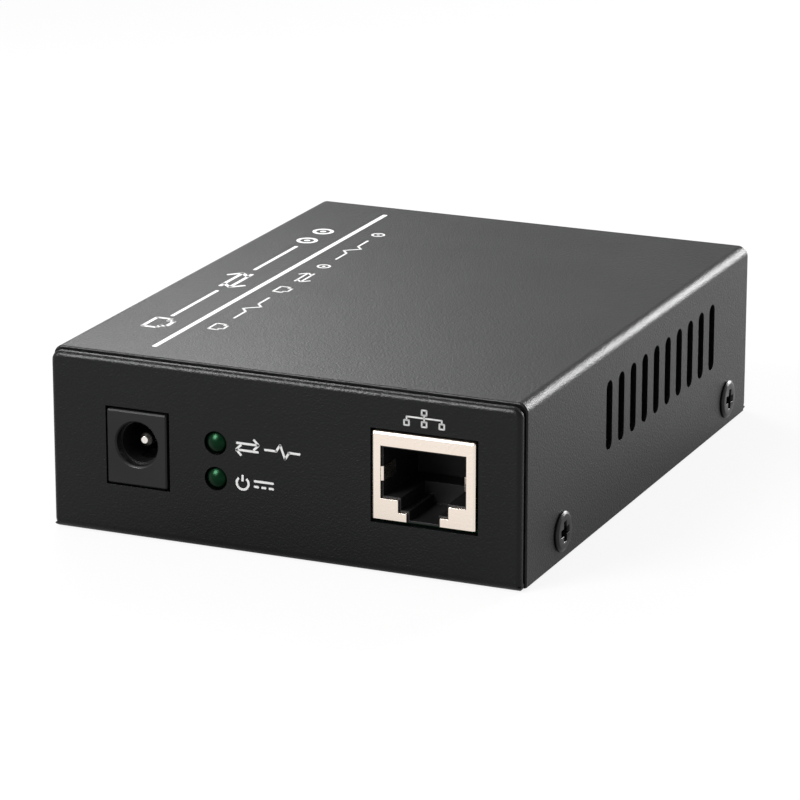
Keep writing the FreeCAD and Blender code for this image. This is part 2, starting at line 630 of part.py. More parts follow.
def power_socket_housing():
    """Square flange, round barrel on a block, stepped bore and a slot under it for the contacts."""
    half = POWER_WIDTH / 2
    flange_back = SOCKET_FACE + POWER_FLANGE
    flange = box(
        POWER_X - half, POWER_X + half, SOCKET_FACE, flange_back, BOARD_SEATED, BOARD_TOP + POWER_HEIGHT,
    )
    flange = eased(flange, POWER_CHAMFER, lambda edge: not lies_at(edge, "Y", flange_back))
    barrel_radius = POWER_BORE_RADIUS + POWER_WALL
    root = SOCKET_FACE + OVERCUT
    barrel = rod("Y", POWER_X, POWER_AXIS, barrel_radius, root, POWER_BACK)
    block = box(POWER_X - barrel_radius, POWER_X + barrel_radius, root, POWER_BACK, BOARD_SEATED, POWER_AXIS)
    mouth = SOCKET_FACE + POWER_MOUTH_LENGTH
    bore = rod("Y", POWER_X, POWER_AXIS, POWER_BORE_RADIUS, SOCKET_FACE - OVERCUT, mouth)
    inner = rod("Y", POWER_X, POWER_AXIS, POWER_INNER_RADIUS, SOCKET_FACE, SOCKET_FACE + POWER_BORE_DEPTH)
    lead_in = Part.makeCone(
        POWER_BORE_RADIUS + POWER_MOUTH_CHAMFER, POWER_BORE_RADIUS, POWER_MOUTH_CHAMFER,
        Vector(POWER_X, SOCKET_FACE, POWER_AXIS), Vector(0, 1, 0),
    )
    pin_hole = rod("Y", POWER_X, POWER_AXIS, POWER_PIN_RADIUS + BOARD_SEAT, SOCKET_FACE, POWER_BACK + OVERCUT)
    slot_half = POWER_STRIP_WIDTH / 2 + POWER_STRIP_PLAY
    slot_back = power_tail_places()[1] + POWER_STRIP / 2 + POWER_STRIP_PLAY
    contact_slot = box(
        POWER_X - slot_half, POWER_X + slot_half, SOCKET_FACE + POWER_SLOT_SETBACK, slot_back,
        BOARD_SEATED - OVERCUT, POWER_AXIS - POWER_PIN_RADIUS,
    )
    return cut(joined([flange, barrel, block]), [bore, inner, lead_in, pin_hole, contact_slot])


def power_socket_pin():
    """Chamfered centre pin, riveted to a solder tail behind the socket."""
    length = POWER_DEPTH - POWER_PIN_SETBACK + BOARD_SEAT
    radius = POWER_PIN_RADIUS
    pin = turned([
        (0.0, 0.0, 0.0), (radius, 0.0, 0.0), (radius, length - POWER_PIN_NOSE, 0.0),
        (radius - POWER_PIN_NOSE, length, 0.0), (0.0, length, 0.0),
    ])
    back = POWER_BACK + BOARD_SEAT
    pin = seated(pin, Vector(POWER_X, back, POWER_AXIS), Vector(0, -1, 0))
    half = POWER_STRIP_WIDTH / 2
    plate = box(POWER_X - half, POWER_X + half, back, back + POWER_STRIP, TAIL_END, POWER_AXIS + radius)
    return joined([pin, plate])


def power_socket_spring():
    """Leaf that bows up into the bore from below and presses on the plug's barrel."""
    tail = power_tail_places()[1]
    floor = POWER_AXIS - POWER_INNER_RADIUS
    root = floor - POWER_STRIP
    start = SOCKET_FACE + POWER_SLOT_SETBACK + POWER_STRIP_PLAY
    path = [
        (start, root), (start + POWER_LEAF_CREST, floor + POWER_STRIP), (start + POWER_LEAF_HEEL, root),
        (tail, root), (tail, TAIL_END),
    ]
    half = POWER_STRIP_WIDTH / 2
    return strip(path, POWER_STRIP, 0.0, "X", POWER_X - half, POWER_X + half)


def power_socket_switch():
    """Fixed contact under the leaf, which a plug lifts the leaf from."""
    tail = power_tail_places()[2]
    level = POWER_AXIS - POWER_INNER_RADIUS - POWER_SWITCH_DROP
    path = [(tail, TAIL_END), (tail, level), (tail + POWER_SWITCH_LENGTH, level)]
    half = POWER_STRIP_WIDTH / 2
    return strip(path, POWER_STRIP, 0.0, "X", POWER_X - half, POWER_X + half)


# ---------------------------------------------------------------- network socket
def plug_outline(inset, floor):
    """Stepped outline of the plug's way in, latch side down, closed at a floor height."""
    half = NET_OPEN_WIDTH / 2 - inset
    step = NET_STEP_WIDTH / 2 - inset
    latch = NET_LATCH_WIDTH / 2 - inset
    top = NET_OPENING_TOP - inset
    shelf = NET_OPENING_FLOOR + inset
    ledge = NET_STEP_FLOOR + inset
    corners = [
        (-half, top), (half, top), (half, shelf), (step, shelf), (step, ledge), (latch, ledge),
        (latch, floor), (-latch, floor), (-latch, ledge), (-step, ledge), (-step, shelf), (-half, shelf),
    ]
    return [(NET_X + u, v, 0.0) for u, v in corners]


def shield_leg_places():
    half = (NET_WIDTH - SHIELD) / 2
    return [(NET_X + side * half, SOCKET_FACE + setback) for side in (-1, 1) for setback in NET_LEG_SETBACKS]


def side_spring(side):
    """Earthing spring, bent inwards from the shield's opening and bowed towards the plug."""
    edge = NET_OPEN_WIDTH / 2
    middle = NET_OPENING_TOP - NET_SPRING_DROP
    face = SOCKET_FACE + SHIELD / 2
    path = [
        (edge + SHIELD / 2, face), (edge - NET_SPRING_STRIP, face + NET_SPRING_STRIP),
        (edge - NET_SPRING_BOW, face + NET_SPRING_CREST), (edge - NET_SPRING_STRIP, face + NET_SPRING_LENGTH),
    ]
    placed = [(NET_X + side * u, v) for u, v in path]
    half = NET_SPRING_HEIGHT / 2
    return strip(placed, NET_SPRING_STRIP, 0.0, "Z", middle - half, middle + half)


def network_socket_shield():
    """Tinned shield folded round the socket: face, top, sides, back, board legs and side springs."""
    half = NET_WIDTH / 2
    outline = [
        (NET_X - half, NET_UNDER, 0.0), (NET_X + half, NET_UNDER, 0.0),
        (NET_X + half, NET_TOP, SHIELD_FOLD), (NET_X - half, NET_TOP, SHIELD_FOLD),
    ]
    shell = prism(outline, "Y", SOCKET_FACE, NET_BACK)
    shell = eased(
        shell, SHIELD_FACE_BREAK,
        lambda edge: lies_at(edge, "Y", SOCKET_FACE) and edge.BoundBox.ZMax > NET_UNDER + SHIELD,
    )
    inner = box(
        NET_X - half + SHIELD, NET_X + half - SHIELD, SOCKET_FACE + SHIELD, NET_BACK - SHIELD,
        NET_UNDER - OVERCUT, NET_TOP - SHIELD,
    )
    way_in = plug_outline(0.0, NET_UNDER - OVERCUT)
    opening = prism(way_in, "Y", SOCKET_FACE - OVERCUT, SOCKET_FACE + SHIELD + OVERCUT)
    shell = cut(shell, [inner, opening])
    legs = [centred_box(x, y, SHIELD, NET_LEG_WIDTH, TAIL_END, NET_UNDER) for x, y in shield_leg_places()]
    return joined([shell, side_spring(-1), side_spring(1)] + legs)


def network_socket_housing():
    """Moulded housing inside the shield: stepped plug cavity, comb of wire grooves and spring pockets."""
    gap = SHIELD + SHIELD_PLAY
    half = NET_WIDTH / 2 - gap
    front = SOCKET_FACE + gap
    body = box(NET_X - half, NET_X + half, front, NET_BACK - gap, BOARD_SEATED, NET_TOP - gap)
    open_front = front - OVERCUT
    latch_outline = plug_outline(NET_LIP, BOARD_SEATED + NET_FLOOR)
    latch_way = prism(latch_outline, "Y", open_front, SOCKET_FACE + NET_LATCH_DEPTH)
    cavity_half = NET_OPEN_WIDTH / 2 - NET_LIP
    cavity_top = NET_OPENING_TOP - NET_LIP
    plug_way = box(
        NET_X - cavity_half, NET_X + cavity_half, open_front, SOCKET_FACE + NET_CAVITY_DEPTH,
        NET_OPENING_FLOOR + NET_LIP, cavity_top,
    )
    middle = NET_OPENING_TOP - NET_SPRING_DROP
    pocket_half = NET_SPRING_HEIGHT / 2 + SHIELD_PLAY
    pocket_reach = NET_OPEN_WIDTH / 2 + NET_SPRING_STRIP
    spring_pockets = box(
        NET_X - pocket_reach, NET_X + pocket_reach,
        open_front, SOCKET_FACE + NET_SPRING_LENGTH + NET_SPRING_ROOM,
        middle - pocket_half, middle + pocket_half,
    )
    roof = NET_WIRE_ROOF + NET_CONTACT_GROOVE
    nose = SOCKET_FACE + NET_CONTACT_NOSE - NET_CONTACT_NOSE_ROOM
    tail_front = NET_TAIL_Y - NET_CONTACT_GROOVE
    tail_back = NET_TAIL_Y + NET_CONTACT_GROOVE
    cuts = [latch_way, plug_way, spring_pockets]
    for x in NET_CONTACT_PLACES:
        low = x - NET_CONTACT_GROOVE / 2
        high = x + NET_CONTACT_GROOVE / 2
        cuts.append(box(low, high, nose, tail_back, cavity_top - NET_CONTACT_GROOVE, roof))
        cuts.append(box(low, high, tail_front, tail_back, BOARD_TOP - OVERCUT, roof))
    return cut(body, cuts)


def network_socket_contacts():
    """Sprung wires: up the back, forward along the comb, and folded down into the plug's way."""
    path = [
        (NET_TAIL_Y, TAIL_END), (NET_TAIL_Y, NET_WIRE_ROOF), (SOCKET_FACE + NET_CONTACT_NOSE, NET_WIRE_ROOF),
        (SOCKET_FACE + NET_CONTACT_TIP, NET_WIRE_ROOF - NET_CONTACT_DIP),
    ]
    half = NET_CONTACT_WIRE / 2
    return Part.makeCompound([
        strip(path, NET_CONTACT_WIRE, 0.0, "X", x - half, x + half) for x in NET_CONTACT_PLACES
    ])


# ---------------------------------------------------------------- indicator lights
def indicator_light(height):
    """Round light whose domed nose stands in the panel's hole, level with the sockets."""
    middle = LIGHT_LENGTH - LIGHT_DOME_RADIUS
    barrel = rod("Z", 0, 0, LIGHT_RADIUS, 0.0, middle)
    ball = Part.makeSphere(LIGHT_DOME_RADIUS, Vector(0, 0, middle))
    nose = rod("Z", 0, 0, LIGHT_RADIUS, middle, LIGHT_LENGTH).common(ball)
    body = joined([barrel, nose])
    return seated(body, Vector(LIGHT_X, LIGHT_BACK, BOARD_TOP + height), Vector(0, -1, 0))


def light_holder():
    """Moulded block on the board that holds both lights at the height of their holes."""
    half = HOLDER_WIDTH / 2
    top = BOARD_TOP + max(LIGHT_HEIGHTS) + HOLDER_TOP
    block = box(LIGHT_X - half, LIGHT_X + half, HOLDER_FRONT, LIGHT_BACK, BOARD_SEATED, top)
    radius = LIGHT_RADIUS + LIGHT_PLAY
    ends = (HOLDER_FRONT - OVERCUT, LIGHT_BACK + OVERCUT)
    return cut(block, [rod("Y", LIGHT_X, BOARD_TOP + height, radius, *ends) for height in LIGHT_HEIGHTS])


def light_lead_places():
    """Where each lead comes down into the board, as (x, y, light's height)."""
    places = []
    for index, height in enumerate(LIGHT_HEIGHTS):
        bend = LIGHT_BACK + LEAD_BEND - index * LEAD_BEND_STEP
        places += [(LIGHT_X + side * LEAD_SPREAD, bend, height) for side in (-1, 1)]
    return places


def light_leads():
    leads = []
    for x, y, height in light_lead_places():
        level = BOARD_TOP + height
        path = [(LIGHT_BACK, level), (y, level), (y, TAIL_END)]
        leads.append(strip(path, LEAD, 0.0, "X", x - LEAD / 2, x + LEAD / 2))
    return Part.makeCompound(leads)


# ---------------------------------------------------------------- fibre ports
def fibre_module(x):
    """Transceiver behind each port: a moulded box with grooves across its top."""
    top = FIBRE_UNDER + FIBRE_HEIGHT
    half = FIBRE_MODULE_WIDTH / 2
    body = box(x - half, x + half, MODULE_BACK, PORT_BACK, FIBRE_UNDER, top)
    pitch = FIBRE_MODULE_DEPTH / (FIBRE_GROOVES + 1)
    reach = FIBRE_MODULE_WIDTH + 2 * OVERCUT
    grooves = [
        centred_box(
            x, MODULE_BACK + (index + 1) * pitch, reach, FIBRE_GROOVE_WIDTH,
            top - FIBRE_GROOVE_DEPTH, top + OVERCUT,
        )
        for index in range(FIBRE_GROOVES)
    ]
    return cut(body, grooves)


def fibre_port(x):
    """Push-pull receptacle: a rectangular tube with a key slot along the top of its cavity."""
    half = FIBRE_PORT_WIDTH / 2
    body = box(x - half, x + half, PORT_BACK, PORT_FACE, FIBRE_UNDER, FIBRE_UNDER + FIBRE_HEIGHT)
    body = eased(body, FIBRE_PORT_CHAMFER, lambda edge: not lies_at(edge, "Y", PORT_BACK))
    cavity_half = FIBRE_CAVITY_WIDTH / 2
    cavity_top = FIBRE_AXIS + FIBRE_CAVITY_HEIGHT / 2
    cavity = box(
        x - cavity_half, x + cavity_half, PORT_BACK - OVERCUT, PORT_FACE + OVERCUT,
        FIBRE_AXIS - FIBRE_CAVITY_HEIGHT / 2, cavity_top,
    )
    key = box(
        x - FIBRE_KEY_WIDTH / 2, x + FIBRE_KEY_WIDTH / 2, HOLDER_SEAT, PORT_FACE + OVERCUT,
        cavity_top - OVERCUT, cavity_top + FIBRE_KEY_DEPTH,
    )
    return cut(body, [cavity, key])


def latch_hook(x, side):
    """Springy arm beside the tube, with a barb turned in at its tip."""
    tip = TUBE_TIP - HOOK_SHORT
    inner = HOOK_OFFSET
    outer = HOOK_OFFSET + HOOK_STRIP
    path = [
        (inner, HOLDER_SEAT), (outer, HOLDER_SEAT), (outer, tip), (inner, tip),
        (inner - HOOK_BARB, tip - HOOK_BARB_CREST), (inner, tip - HOOK_BARB_LENGTH),
    ]
    corners = [(x + side * u, v, 0.0) for u, v in path]
    return prism(corners, "Z", FIBRE_AXIS - HOOK_HEIGHT / 2, FIBRE_AXIS + HOOK_HEIGHT / 2)


def fibre_holder(x):
    """Inner piece of a port: back plate, sleeve tube and two latch hooks."""
    half = FIBRE_CAVITY_WIDTH / 2 - FIBRE_HOLDER_PLAY
    half_height = FIBRE_CAVITY_HEIGHT / 2 - FIBRE_HOLDER_PLAY
    plate = box(
        x - half, x + half, PORT_BACK + BOARD_SEAT, HOLDER_SEAT,
        FIBRE_AXIS - half_height, FIBRE_AXIS + half_height,
    )
    tube = rod("Y", x, FIBRE_AXIS, FIBRE_TUBE_RADIUS, HOLDER_SEAT, TUBE_TIP)
    bore = rod("Y", x, FIBRE_AXIS, SLEEVE_RADIUS + SLEEVE_PLAY, HOLDER_SEAT, TUBE_TIP + OVERCUT)
    body = joined([plate, tube, latch_hook(x, -1), latch_hook(x, 1)])
    return cut(body, [bore])


def fibre_sleeve(x):
    """Split ceramic sleeve that lines the plug's ferrule up, slit along its underside."""
    start = HOLDER_SEAT + BOARD_SEAT
    end = TUBE_TIP - SLEEVE_SETBACK
    tube = rod("Y", x, FIBRE_AXIS, SLEEVE_RADIUS, start, end)
    bore = rod("Y", x, FIBRE_AXIS, SLEEVE_BORE_RADIUS, start - OVERCUT, end + OVERCUT)
    slit = box(
        x - SLEEVE_SLIT / 2, x + SLEEVE_SLIT / 2, start - OVERCUT, end + OVERCUT,
        FIBRE_AXIS - SLEEVE_RADIUS - OVERCUT, FIBRE_AXIS,
    )
    return cut(tube, [bore, slit])


def fibre_pins(x):
    return Part.makeCompound([
        centred_box(x + offset, FIBRE_PIN_Y, FIBRE_PIN, FIBRE_PIN, TAIL_END, FIBRE_UNDER)
        for offset in FIBRE_PIN_OFFSETS
    ])


# ---------------------------------------------------------------- parts on the board
def chip_body(centre, size):
    """Moulded chip body with a bevelled top edge."""
    length, width, height = size
    base = BOARD_TOP + CHIP_LIFT
    body = centred_box(*centre, length, width, base, base + height)
    return eased(body, CHIP_BEVEL, lambda edge: lies_at(edge, "Z", base + height))


def gull_leads(centre, half_span, count, pitch, width, root_height, angle):
    """Row of leads that leave one side of a chip, step down and lie flat on the board."""
    sheet = CHIP_LEAD_SHEET
    foot = BOARD_SEATED + sheet / 2
    path = [
        (half_span + sheet / 2, BOARD_TOP + CHIP_LIFT + root_height),
        (half_span + CHIP_LEAD_REACH / 2, foot), (half_span + CHIP_LEAD_REACH, foot),
    ]
    row = []
    for index in range(count):
        offset = (index - (count - 1) / 2) * pitch
        row.append(strip(path, sheet, 0.0, "Y", offset - width / 2, offset + width / 2))
    leads = Part.makeCompound(row)
    leads.rotate(Vector(0, 0, 0), UP, angle)
    leads.translate(Vector(*centre, 0))
    return leads


def switch_chip():
    return chip_body(CHIP_CENTRE, (CHIP_SIDE, CHIP_SIDE, CHIP_HEIGHT))


def switch_chip_leads():
    row = (CHIP_SIDE / 2, CHIP_LEAD_COUNT, CHIP_LEAD_PITCH, CHIP_LEAD_WIDTH, CHIP_HEIGHT / 2)
    return Part.makeCompound([gull_leads(CHIP_CENTRE, *row, angle) for angle in (0, 90, 180, 270)])


def network_transformer():
    return chip_body(TRANSFORMER_CENTRE, TRANSFORMER_SIZE)


def transformer_leads():
    row = (
        TRANSFORMER_SIZE[1] / 2, TRANSFORMER_LEAD_COUNT, TRANSFORMER_LEAD_PITCH,
        TRANSFORMER_LEAD_WIDTH, TRANSFORMER_LEAD_HEIGHT,
    )
    return Part.makeCompound([gull_leads(TRANSFORMER_CENTRE, *row, angle) for angle in (90, 270)])


def memory_chip():
    return chip_body(MEMORY_CENTRE, MEMORY_SIZE)


def memory_chip_leads():
    row = (
        MEMORY_SIZE[1] / 2, MEMORY_LEAD_COUNT, TRANSFORMER_LEAD_PITCH,
        TRANSFORMER_LEAD_WIDTH, MEMORY_SIZE[2] / 2,
    )
    return Part.makeCompound([gull_leads(MEMORY_CENTRE, *row, angle) for angle in (90, 270)])


def voltage_regulator():
    return chip_body(REGULATOR_CENTRE, REGULATOR_SIZE)


def regulator_leads():
    """Three leads on one long side and the wide cooling tab on the other."""
    half_span = REGULATOR_SIZE[1] / 2
    root_height = REGULATOR_SIZE[2] / 2
    leads = (half_span, REGULATOR_LEAD_COUNT, REGULATOR_LEAD_PITCH, REGULATOR_LEAD_WIDTH, root_height)
    tab = (half_span, 1, REGULATOR_LEAD_PITCH, REGULATOR_TAB_WIDTH, root_height)
    return Part.makeCompound([
        gull_leads(REGULATOR_CENTRE, *leads, 270),
        gull_leads(REGULATOR_CENTRE, *tab, 90),
    ])


def clock_crystal():
    """Low can with round ends."""
    x, y = CRYSTAL_CENTRE
    length, width, height = CRYSTAL_SIZE
    corners = rectangle(x - length / 2, x + length / 2, y - width / 2, y + width / 2, width / 2)
    return prism(corners, "Z", BOARD_SEATED, BOARD_SEATED + height)


def power_inductor():
    """Square shielded inductor with clipped corners, sealed all round."""
    body = centred_box(
        *INDUCTOR_CENTRE, INDUCTOR_SIDE, INDUCTOR_SIDE, BOARD_SEATED, BOARD_SEATED + INDUCTOR_HEIGHT,
    )
    return eased(body, INDUCTOR_CORNER, lambda edge: edge.BoundBox.ZLength > NEAR)


def capacitor_cans():
    """Aluminium cans, each standing on its base."""
    low = BOARD_SEATED + CAPACITOR_BASE_HEIGHT + BOARD_SEAT
    return Part.makeCompound([
        rod("Z", x, y, CAPACITOR_RADIUS, low, BOARD_SEATED + CAPACITOR_HEIGHT) for x, y in CAPACITOR_PLACES
    ])


def capacitor_base(x, y):
    """Square base with the two corners clipped that mark its positive side."""
    side = 2 * (CAPACITOR_RADIUS + CAPACITOR_BASE_RIM)
    body = centred_box(x, y, side, side, BOARD_SEATED, BOARD_SEATED + CAPACITOR_BASE_HEIGHT)
    return eased(
        body, CAPACITOR_BASE_CORNER,
        lambda edge: edge.BoundBox.ZLength > NEAR and lies_at(edge, "X", x + side / 2),
    )


def capacitor_bases():
    return Part.makeCompound([capacitor_base(x, y) for x, y in CAPACITOR_PLACES])


def small_part_row(x, y, count, size):
    """Straight row of small two-ended parts about a place."""
    length, width, height = size
    offsets = [(index - (count - 1) / 2) * SMALL_PART_PITCH for index in range(count)]
    return Part.makeCompound([
        centred_box(x + offset, y, width, length, BOARD_SEATED, BOARD_SEATED + height) for offset in offsets
    ])


def chip_resistors():
    return Part.makeCompound([
        small_part_row(0.0, BOARD_FRONT + setback, RESISTOR_COUNT, RESISTOR_SIZE)
        for setback in RESISTOR_SETBACKS
    ])


def chip_capacitors():
    y = MODULE_BACK - CHIP_CAPACITOR_GAP
    return Part.makeCompound([
        small_part_row(side * FIBRE_X, y, CHIP_CAPACITOR_COUNT, CHIP_CAPACITOR_SIZE) for side in (-1, 1)
    ])


# ---------------------------------------------------------------- the whole converter
def converter():
    parts = {
        "base_chassis": base_chassis(),
        "top_cover": top_cover(),
        "cover_screws": cover_screws(),
        "board_standoffs": board_standoffs(),
        "board_screws": board_screws(),
        "circuit_board": circuit_board(),
        "power_socket_housing": power_socket_housing(),
        "power_socket_pin": power_socket_pin(),
        "power_socket_spring": power_socket_spring(),
        "power_socket_switch": power_socket_switch(),
        "network_socket_shield": network_socket_shield(),
        "network_socket_housing": network_socket_housing(),
        "network_socket_contacts": network_socket_contacts(),
        "link_light": indicator_light(LIGHT_HEIGHTS[0]),
        "power_light": indicator_light(LIGHT_HEIGHTS[1]),
        "light_holder": light_holder(),
        "light_leads": light_leads(),
        "switch_chip": switch_chip(),
        "switch_chip_leads": switch_chip_leads(),
        "network_transformer": network_transformer(),
        "transformer_leads": transformer_leads(),
        "memory_chip": memory_chip(),
        "memory_chip_leads": memory_chip_leads(),
        "voltage_regulator": voltage_regulator(),
        "regulator_leads": regulator_leads(),
        "clock_crystal": clock_crystal(),
        "power_inductor": power_inductor(),
        "capacitor_cans": capacitor_cans(),
        "capacitor_bases": capacitor_bases(),
        "chip_resistors": chip_resistors(),
        "chip_capacitors": chip_capacitors(),
    }
    for name, side in (("left", -1), ("right", 1)):
        x = side * FIBRE_X
        parts["fibre_module_" + name] = fibre_module(x)
        parts["fibre_port_" + name] = fibre_port(x)
        parts["fibre_holder_" + name] = fibre_holder(x)
        parts["fibre_sleeve_" + name] = fibre_sleeve(x)
        parts["fibre_pins_" + name] = fibre_pins(x)
    return parts


os.makedirs("parts", exist_ok=True)
for node, shape in converter().items():
    shape.exportStep("parts/" + node + ".step")
    print(node, "solids", len(shape.Solids), "volume", round(shape.Volume, 2), "valid", shape.isValid())
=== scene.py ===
import json
import math

import bpy
from mathutils import Matrix, Vector


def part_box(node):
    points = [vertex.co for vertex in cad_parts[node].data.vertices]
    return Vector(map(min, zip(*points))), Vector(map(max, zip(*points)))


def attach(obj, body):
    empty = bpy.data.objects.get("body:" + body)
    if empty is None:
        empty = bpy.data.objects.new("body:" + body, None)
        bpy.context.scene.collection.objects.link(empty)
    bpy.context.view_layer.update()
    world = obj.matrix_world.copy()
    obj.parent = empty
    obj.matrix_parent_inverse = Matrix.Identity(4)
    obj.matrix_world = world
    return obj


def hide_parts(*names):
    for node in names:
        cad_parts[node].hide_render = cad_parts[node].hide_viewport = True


# A desktop fibre media converter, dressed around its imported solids.
# Metres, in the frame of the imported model: X across, Y from front to rear, Z up.

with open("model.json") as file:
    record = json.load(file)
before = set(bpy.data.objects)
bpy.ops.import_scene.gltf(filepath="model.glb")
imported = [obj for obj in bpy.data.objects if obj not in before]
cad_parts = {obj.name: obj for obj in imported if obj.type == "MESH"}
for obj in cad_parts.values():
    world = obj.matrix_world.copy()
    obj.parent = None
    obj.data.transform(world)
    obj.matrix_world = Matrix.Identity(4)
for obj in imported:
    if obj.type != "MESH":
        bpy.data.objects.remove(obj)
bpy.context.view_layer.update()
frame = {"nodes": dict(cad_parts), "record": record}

MM = 0.001

# ---------------------------------------------------------------- sizes of the finish
FOLD_EASE = 0.14 * MM        # round left on each edge of the coated sheet
RIM_EASE = 0.8 * MM          # wide round on the end panels' outer rims
COVER_RIM_EASE = 0.25 * MM   # and on the cover's ends, across the groove from them
PANEL_SET_IN = 0.27 * MM     # how far the end panels' rims stand inside the cover's sides
PANEL_SET_DOWN = 0.42 * MM   # and under its top
PANEL_FOOT = 0.7 * MM        # round at the end panels' lower corners
PIN_EASE = 0.5 * MM
MOULD_EASE = 0.17 * MM       # round on moulded edges
SHIELD_EASE = 0.06 * MM
WIRE_EASE = 0.07 * MM
LEAD_EASE = 0.04 * MM
SEAM_TURN = math.radians(30)  # edges that turn more than this are eased
FLAT_TURN = math.radians(0.5)  # faces that turn less than this are one face
MERGE_REACH = 0.001 * MM
ROUND_REACH = 0.01 * MM
FOLD_OUTSIDE = 1.5 * MM      # outside radius of the sheet's folds

INK_HEIGHT = 0.02 * MM
LINE_STROKE = 0.8 * MM       # the long line on the top
PLAN_STROKE = 0.6 * MM
SMALL_STROKE = 0.34 * MM
LINE_IN = 13.7 * MM          # the line's distance from the cover's left side
LINE_FRONT = 4.6 * MM        # its front end's distance from the cover's front edge
LINE_REAR = 4.7 * MM         # and its rear end's from the rear edge
FLOOR_GAP = 0.02 * MM        # the floor lies this far under the case
FLOOR_GLOW = 0.87            # what the floor adds to its own grey for the rays that see it

SCREW_ROUND = 48
SCREW_SHANK = 1.45 * MM
SCREW_LENGTH = 3.2 * MM
SCREW_SHOULDER = 0.24 * MM   # how far the head's face stands above its rim
SCREW_RIM = 0.5 * MM
SCREW_EASE = 0.07 * MM
CROSS_SPAN = 3.1 * MM
CROSS_SLOT = 1.1 * MM
CROSS_DEPTH = 1.5 * MM
CROSS_FLOOR = 0.7            # floor of the cross, as a share of its mouth
THREAD_PITCH = 0.5 * MM
THREAD_DEPTH = 0.22 * MM
THREAD_FOOT = 0.4            # half the ridge's width at its foot, as a share of the pitch
THREAD_CREST = 0.06          # and at its crest

LENS_ROUND = 64
LENS_RINGS = 40
LENS_BALL = 1.9 * MM         # radius of the ball that a light's nose is part of
LENS_EASE = 0.12 * MM

ROOM_LIGHT = 0.55            # what the white room gives as light
CEILING_START = 0.06         # rise of a ray at which its reflection leaves the white walls
CEILING_FULL = 0.32          # and at which it finds the ceiling
CEILING_SHARE = 0.54         # the ceiling's strength, for reflections
FLOOR_GREY = 0.12
FLOOR_NEAR = 38 * MM         # reach at which the painted shadow round the case, seen only in reflections, starts to fade
FLOOR_FAR = 62 * MM          # and at which it is gone, so the floor is as bright as elsewhere
# glow left, for reflections only, in the darkest of the painted shadow round the case
PAINTED_SHADOW_SHARE = 0.45
FLOOR_DEPTH_SHARE = 0.78     # the case's width over its depth, which makes that painted shadow as long as it is

CAMERA_AZIMUTH = math.radians(23.578)
CAMERA_ELEVATION = math.radians(16.956)
CAMERA_PLACE = (0.240571, -0.556819, 0.195291)
CAMERA_LENS = 190.06         # millimetres, on a sensor of 36


# ---------------------------------------------------------------- working on meshes
def nothing_selected():
    """Leaves object mode with nothing selected, so an operator reaches only what follows."""
    if bpy.context.object and bpy.context.object.mode != "OBJECT":
        bpy.ops.object.mode_set(mode="OBJECT")
    bpy.ops.object.select_all(action="DESELECT")


def picked(piece):
    nothing_selected()
    piece.select_set(True)
    bpy.context.view_layer.objects.active = piece


def edit(piece):
    picked(piece)
    bpy.ops.object.mode_set(mode="EDIT")
    bpy.ops.mesh.select_all(action="SELECT")


def done_editing():
    bpy.ops.object.mode_set(mode="OBJECT")


def named(name):
    """The primitive just added, under its own name."""
    piece = bpy.context.object
    piece.name = name
    piece.data.name = name
    return piece


def apply_place(piece):
    """Writes an object's place, turn and scale into its mesh."""
    picked(piece)
    bpy.ops.object.transform_apply(location=True, rotation=True, scale=True)


def apply_modifier(piece, kind, **settings):
    modifier = piece.modifiers.new(kind.lower(), kind)
    for key, value in settings.items():
        setattr(modifier, key, value)
    picked(piece)
    bpy.ops.object.modifier_apply(modifier=modifier.name)


def cut_with(piece, cutter):
    """Sinks a cutter's shape into a piece and throws the cutter away."""
    apply_modifier(piece, "BOOLEAN", object=cutter, operation="DIFFERENCE", solver="EXACT")
    bpy.data.objects.remove(cutter, do_unlink=True)


def joined(pieces, name):
    picked(pieces[0])
    for piece in pieces[1:]:
        piece.select_set(True)
    bpy.ops.object.join()
    return named(name)


def normals_outwards(piece):
    edit(piece)
    bpy.ops.mesh.remove_doubles(threshold=MERGE_REACH)
    bpy.ops.mesh.normals_make_consistent(inside=False)
    done_editing()


def smoothed(piece, turn=SEAM_TURN):
    picked(piece)
    bpy.ops.object.shade_smooth_by_angle(angle=turn)


def faces_chosen(piece, test):
    """Selects, in face mode, the faces whose centre and normal pass a test."""
    bpy.ops.mesh.select_mode(type="FACE")
    bpy.ops.mesh.select_all(action="DESELECT")
    bpy.ops.object.mode_set(mode="OBJECT")
    for face in piece.data.polygons:
        face.select = test(face.center, face.normal)
    bpy.ops.object.mode_set(mode="EDIT")


def keep_selected_edges(piece, test):
    """Of the selected edges, keeps those whose both ends pass a test."""
    bpy.ops.object.mode_set(mode="OBJECT")
    mesh = piece.data
    kept = [
        edge.select and all(test(mesh.vertices[index].co) for index in edge.vertices) for edge in mesh.edges
    ]
    for element in (*mesh.vertices, *mesh.polygons):
        element.select = False
    for edge, keep in zip(mesh.edges, kept):
        edge.select = keep
        for index in edge.vertices:
            mesh.vertices[index].select |= keep
    bpy.ops.object.mode_set(mode="EDIT")


def dress(piece, material, slot, *nodes):
    """Gives a finished piece its material and its ride, and hides the solids it stands for. The slot is not
    used.
    """
    piece.data.materials.clear()
    piece.data.materials.append(material)
    if nodes:
        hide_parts(*nodes)
    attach(piece, "root")


# ---------------------------------------------------------------- shared surface effects
def add_socket(group, direction, kind, name, value=None):
    socket = group.interface.new_socket(name=name, in_out=direction, socket_type=kind)
    if value is not None:
        socket.default_value = value


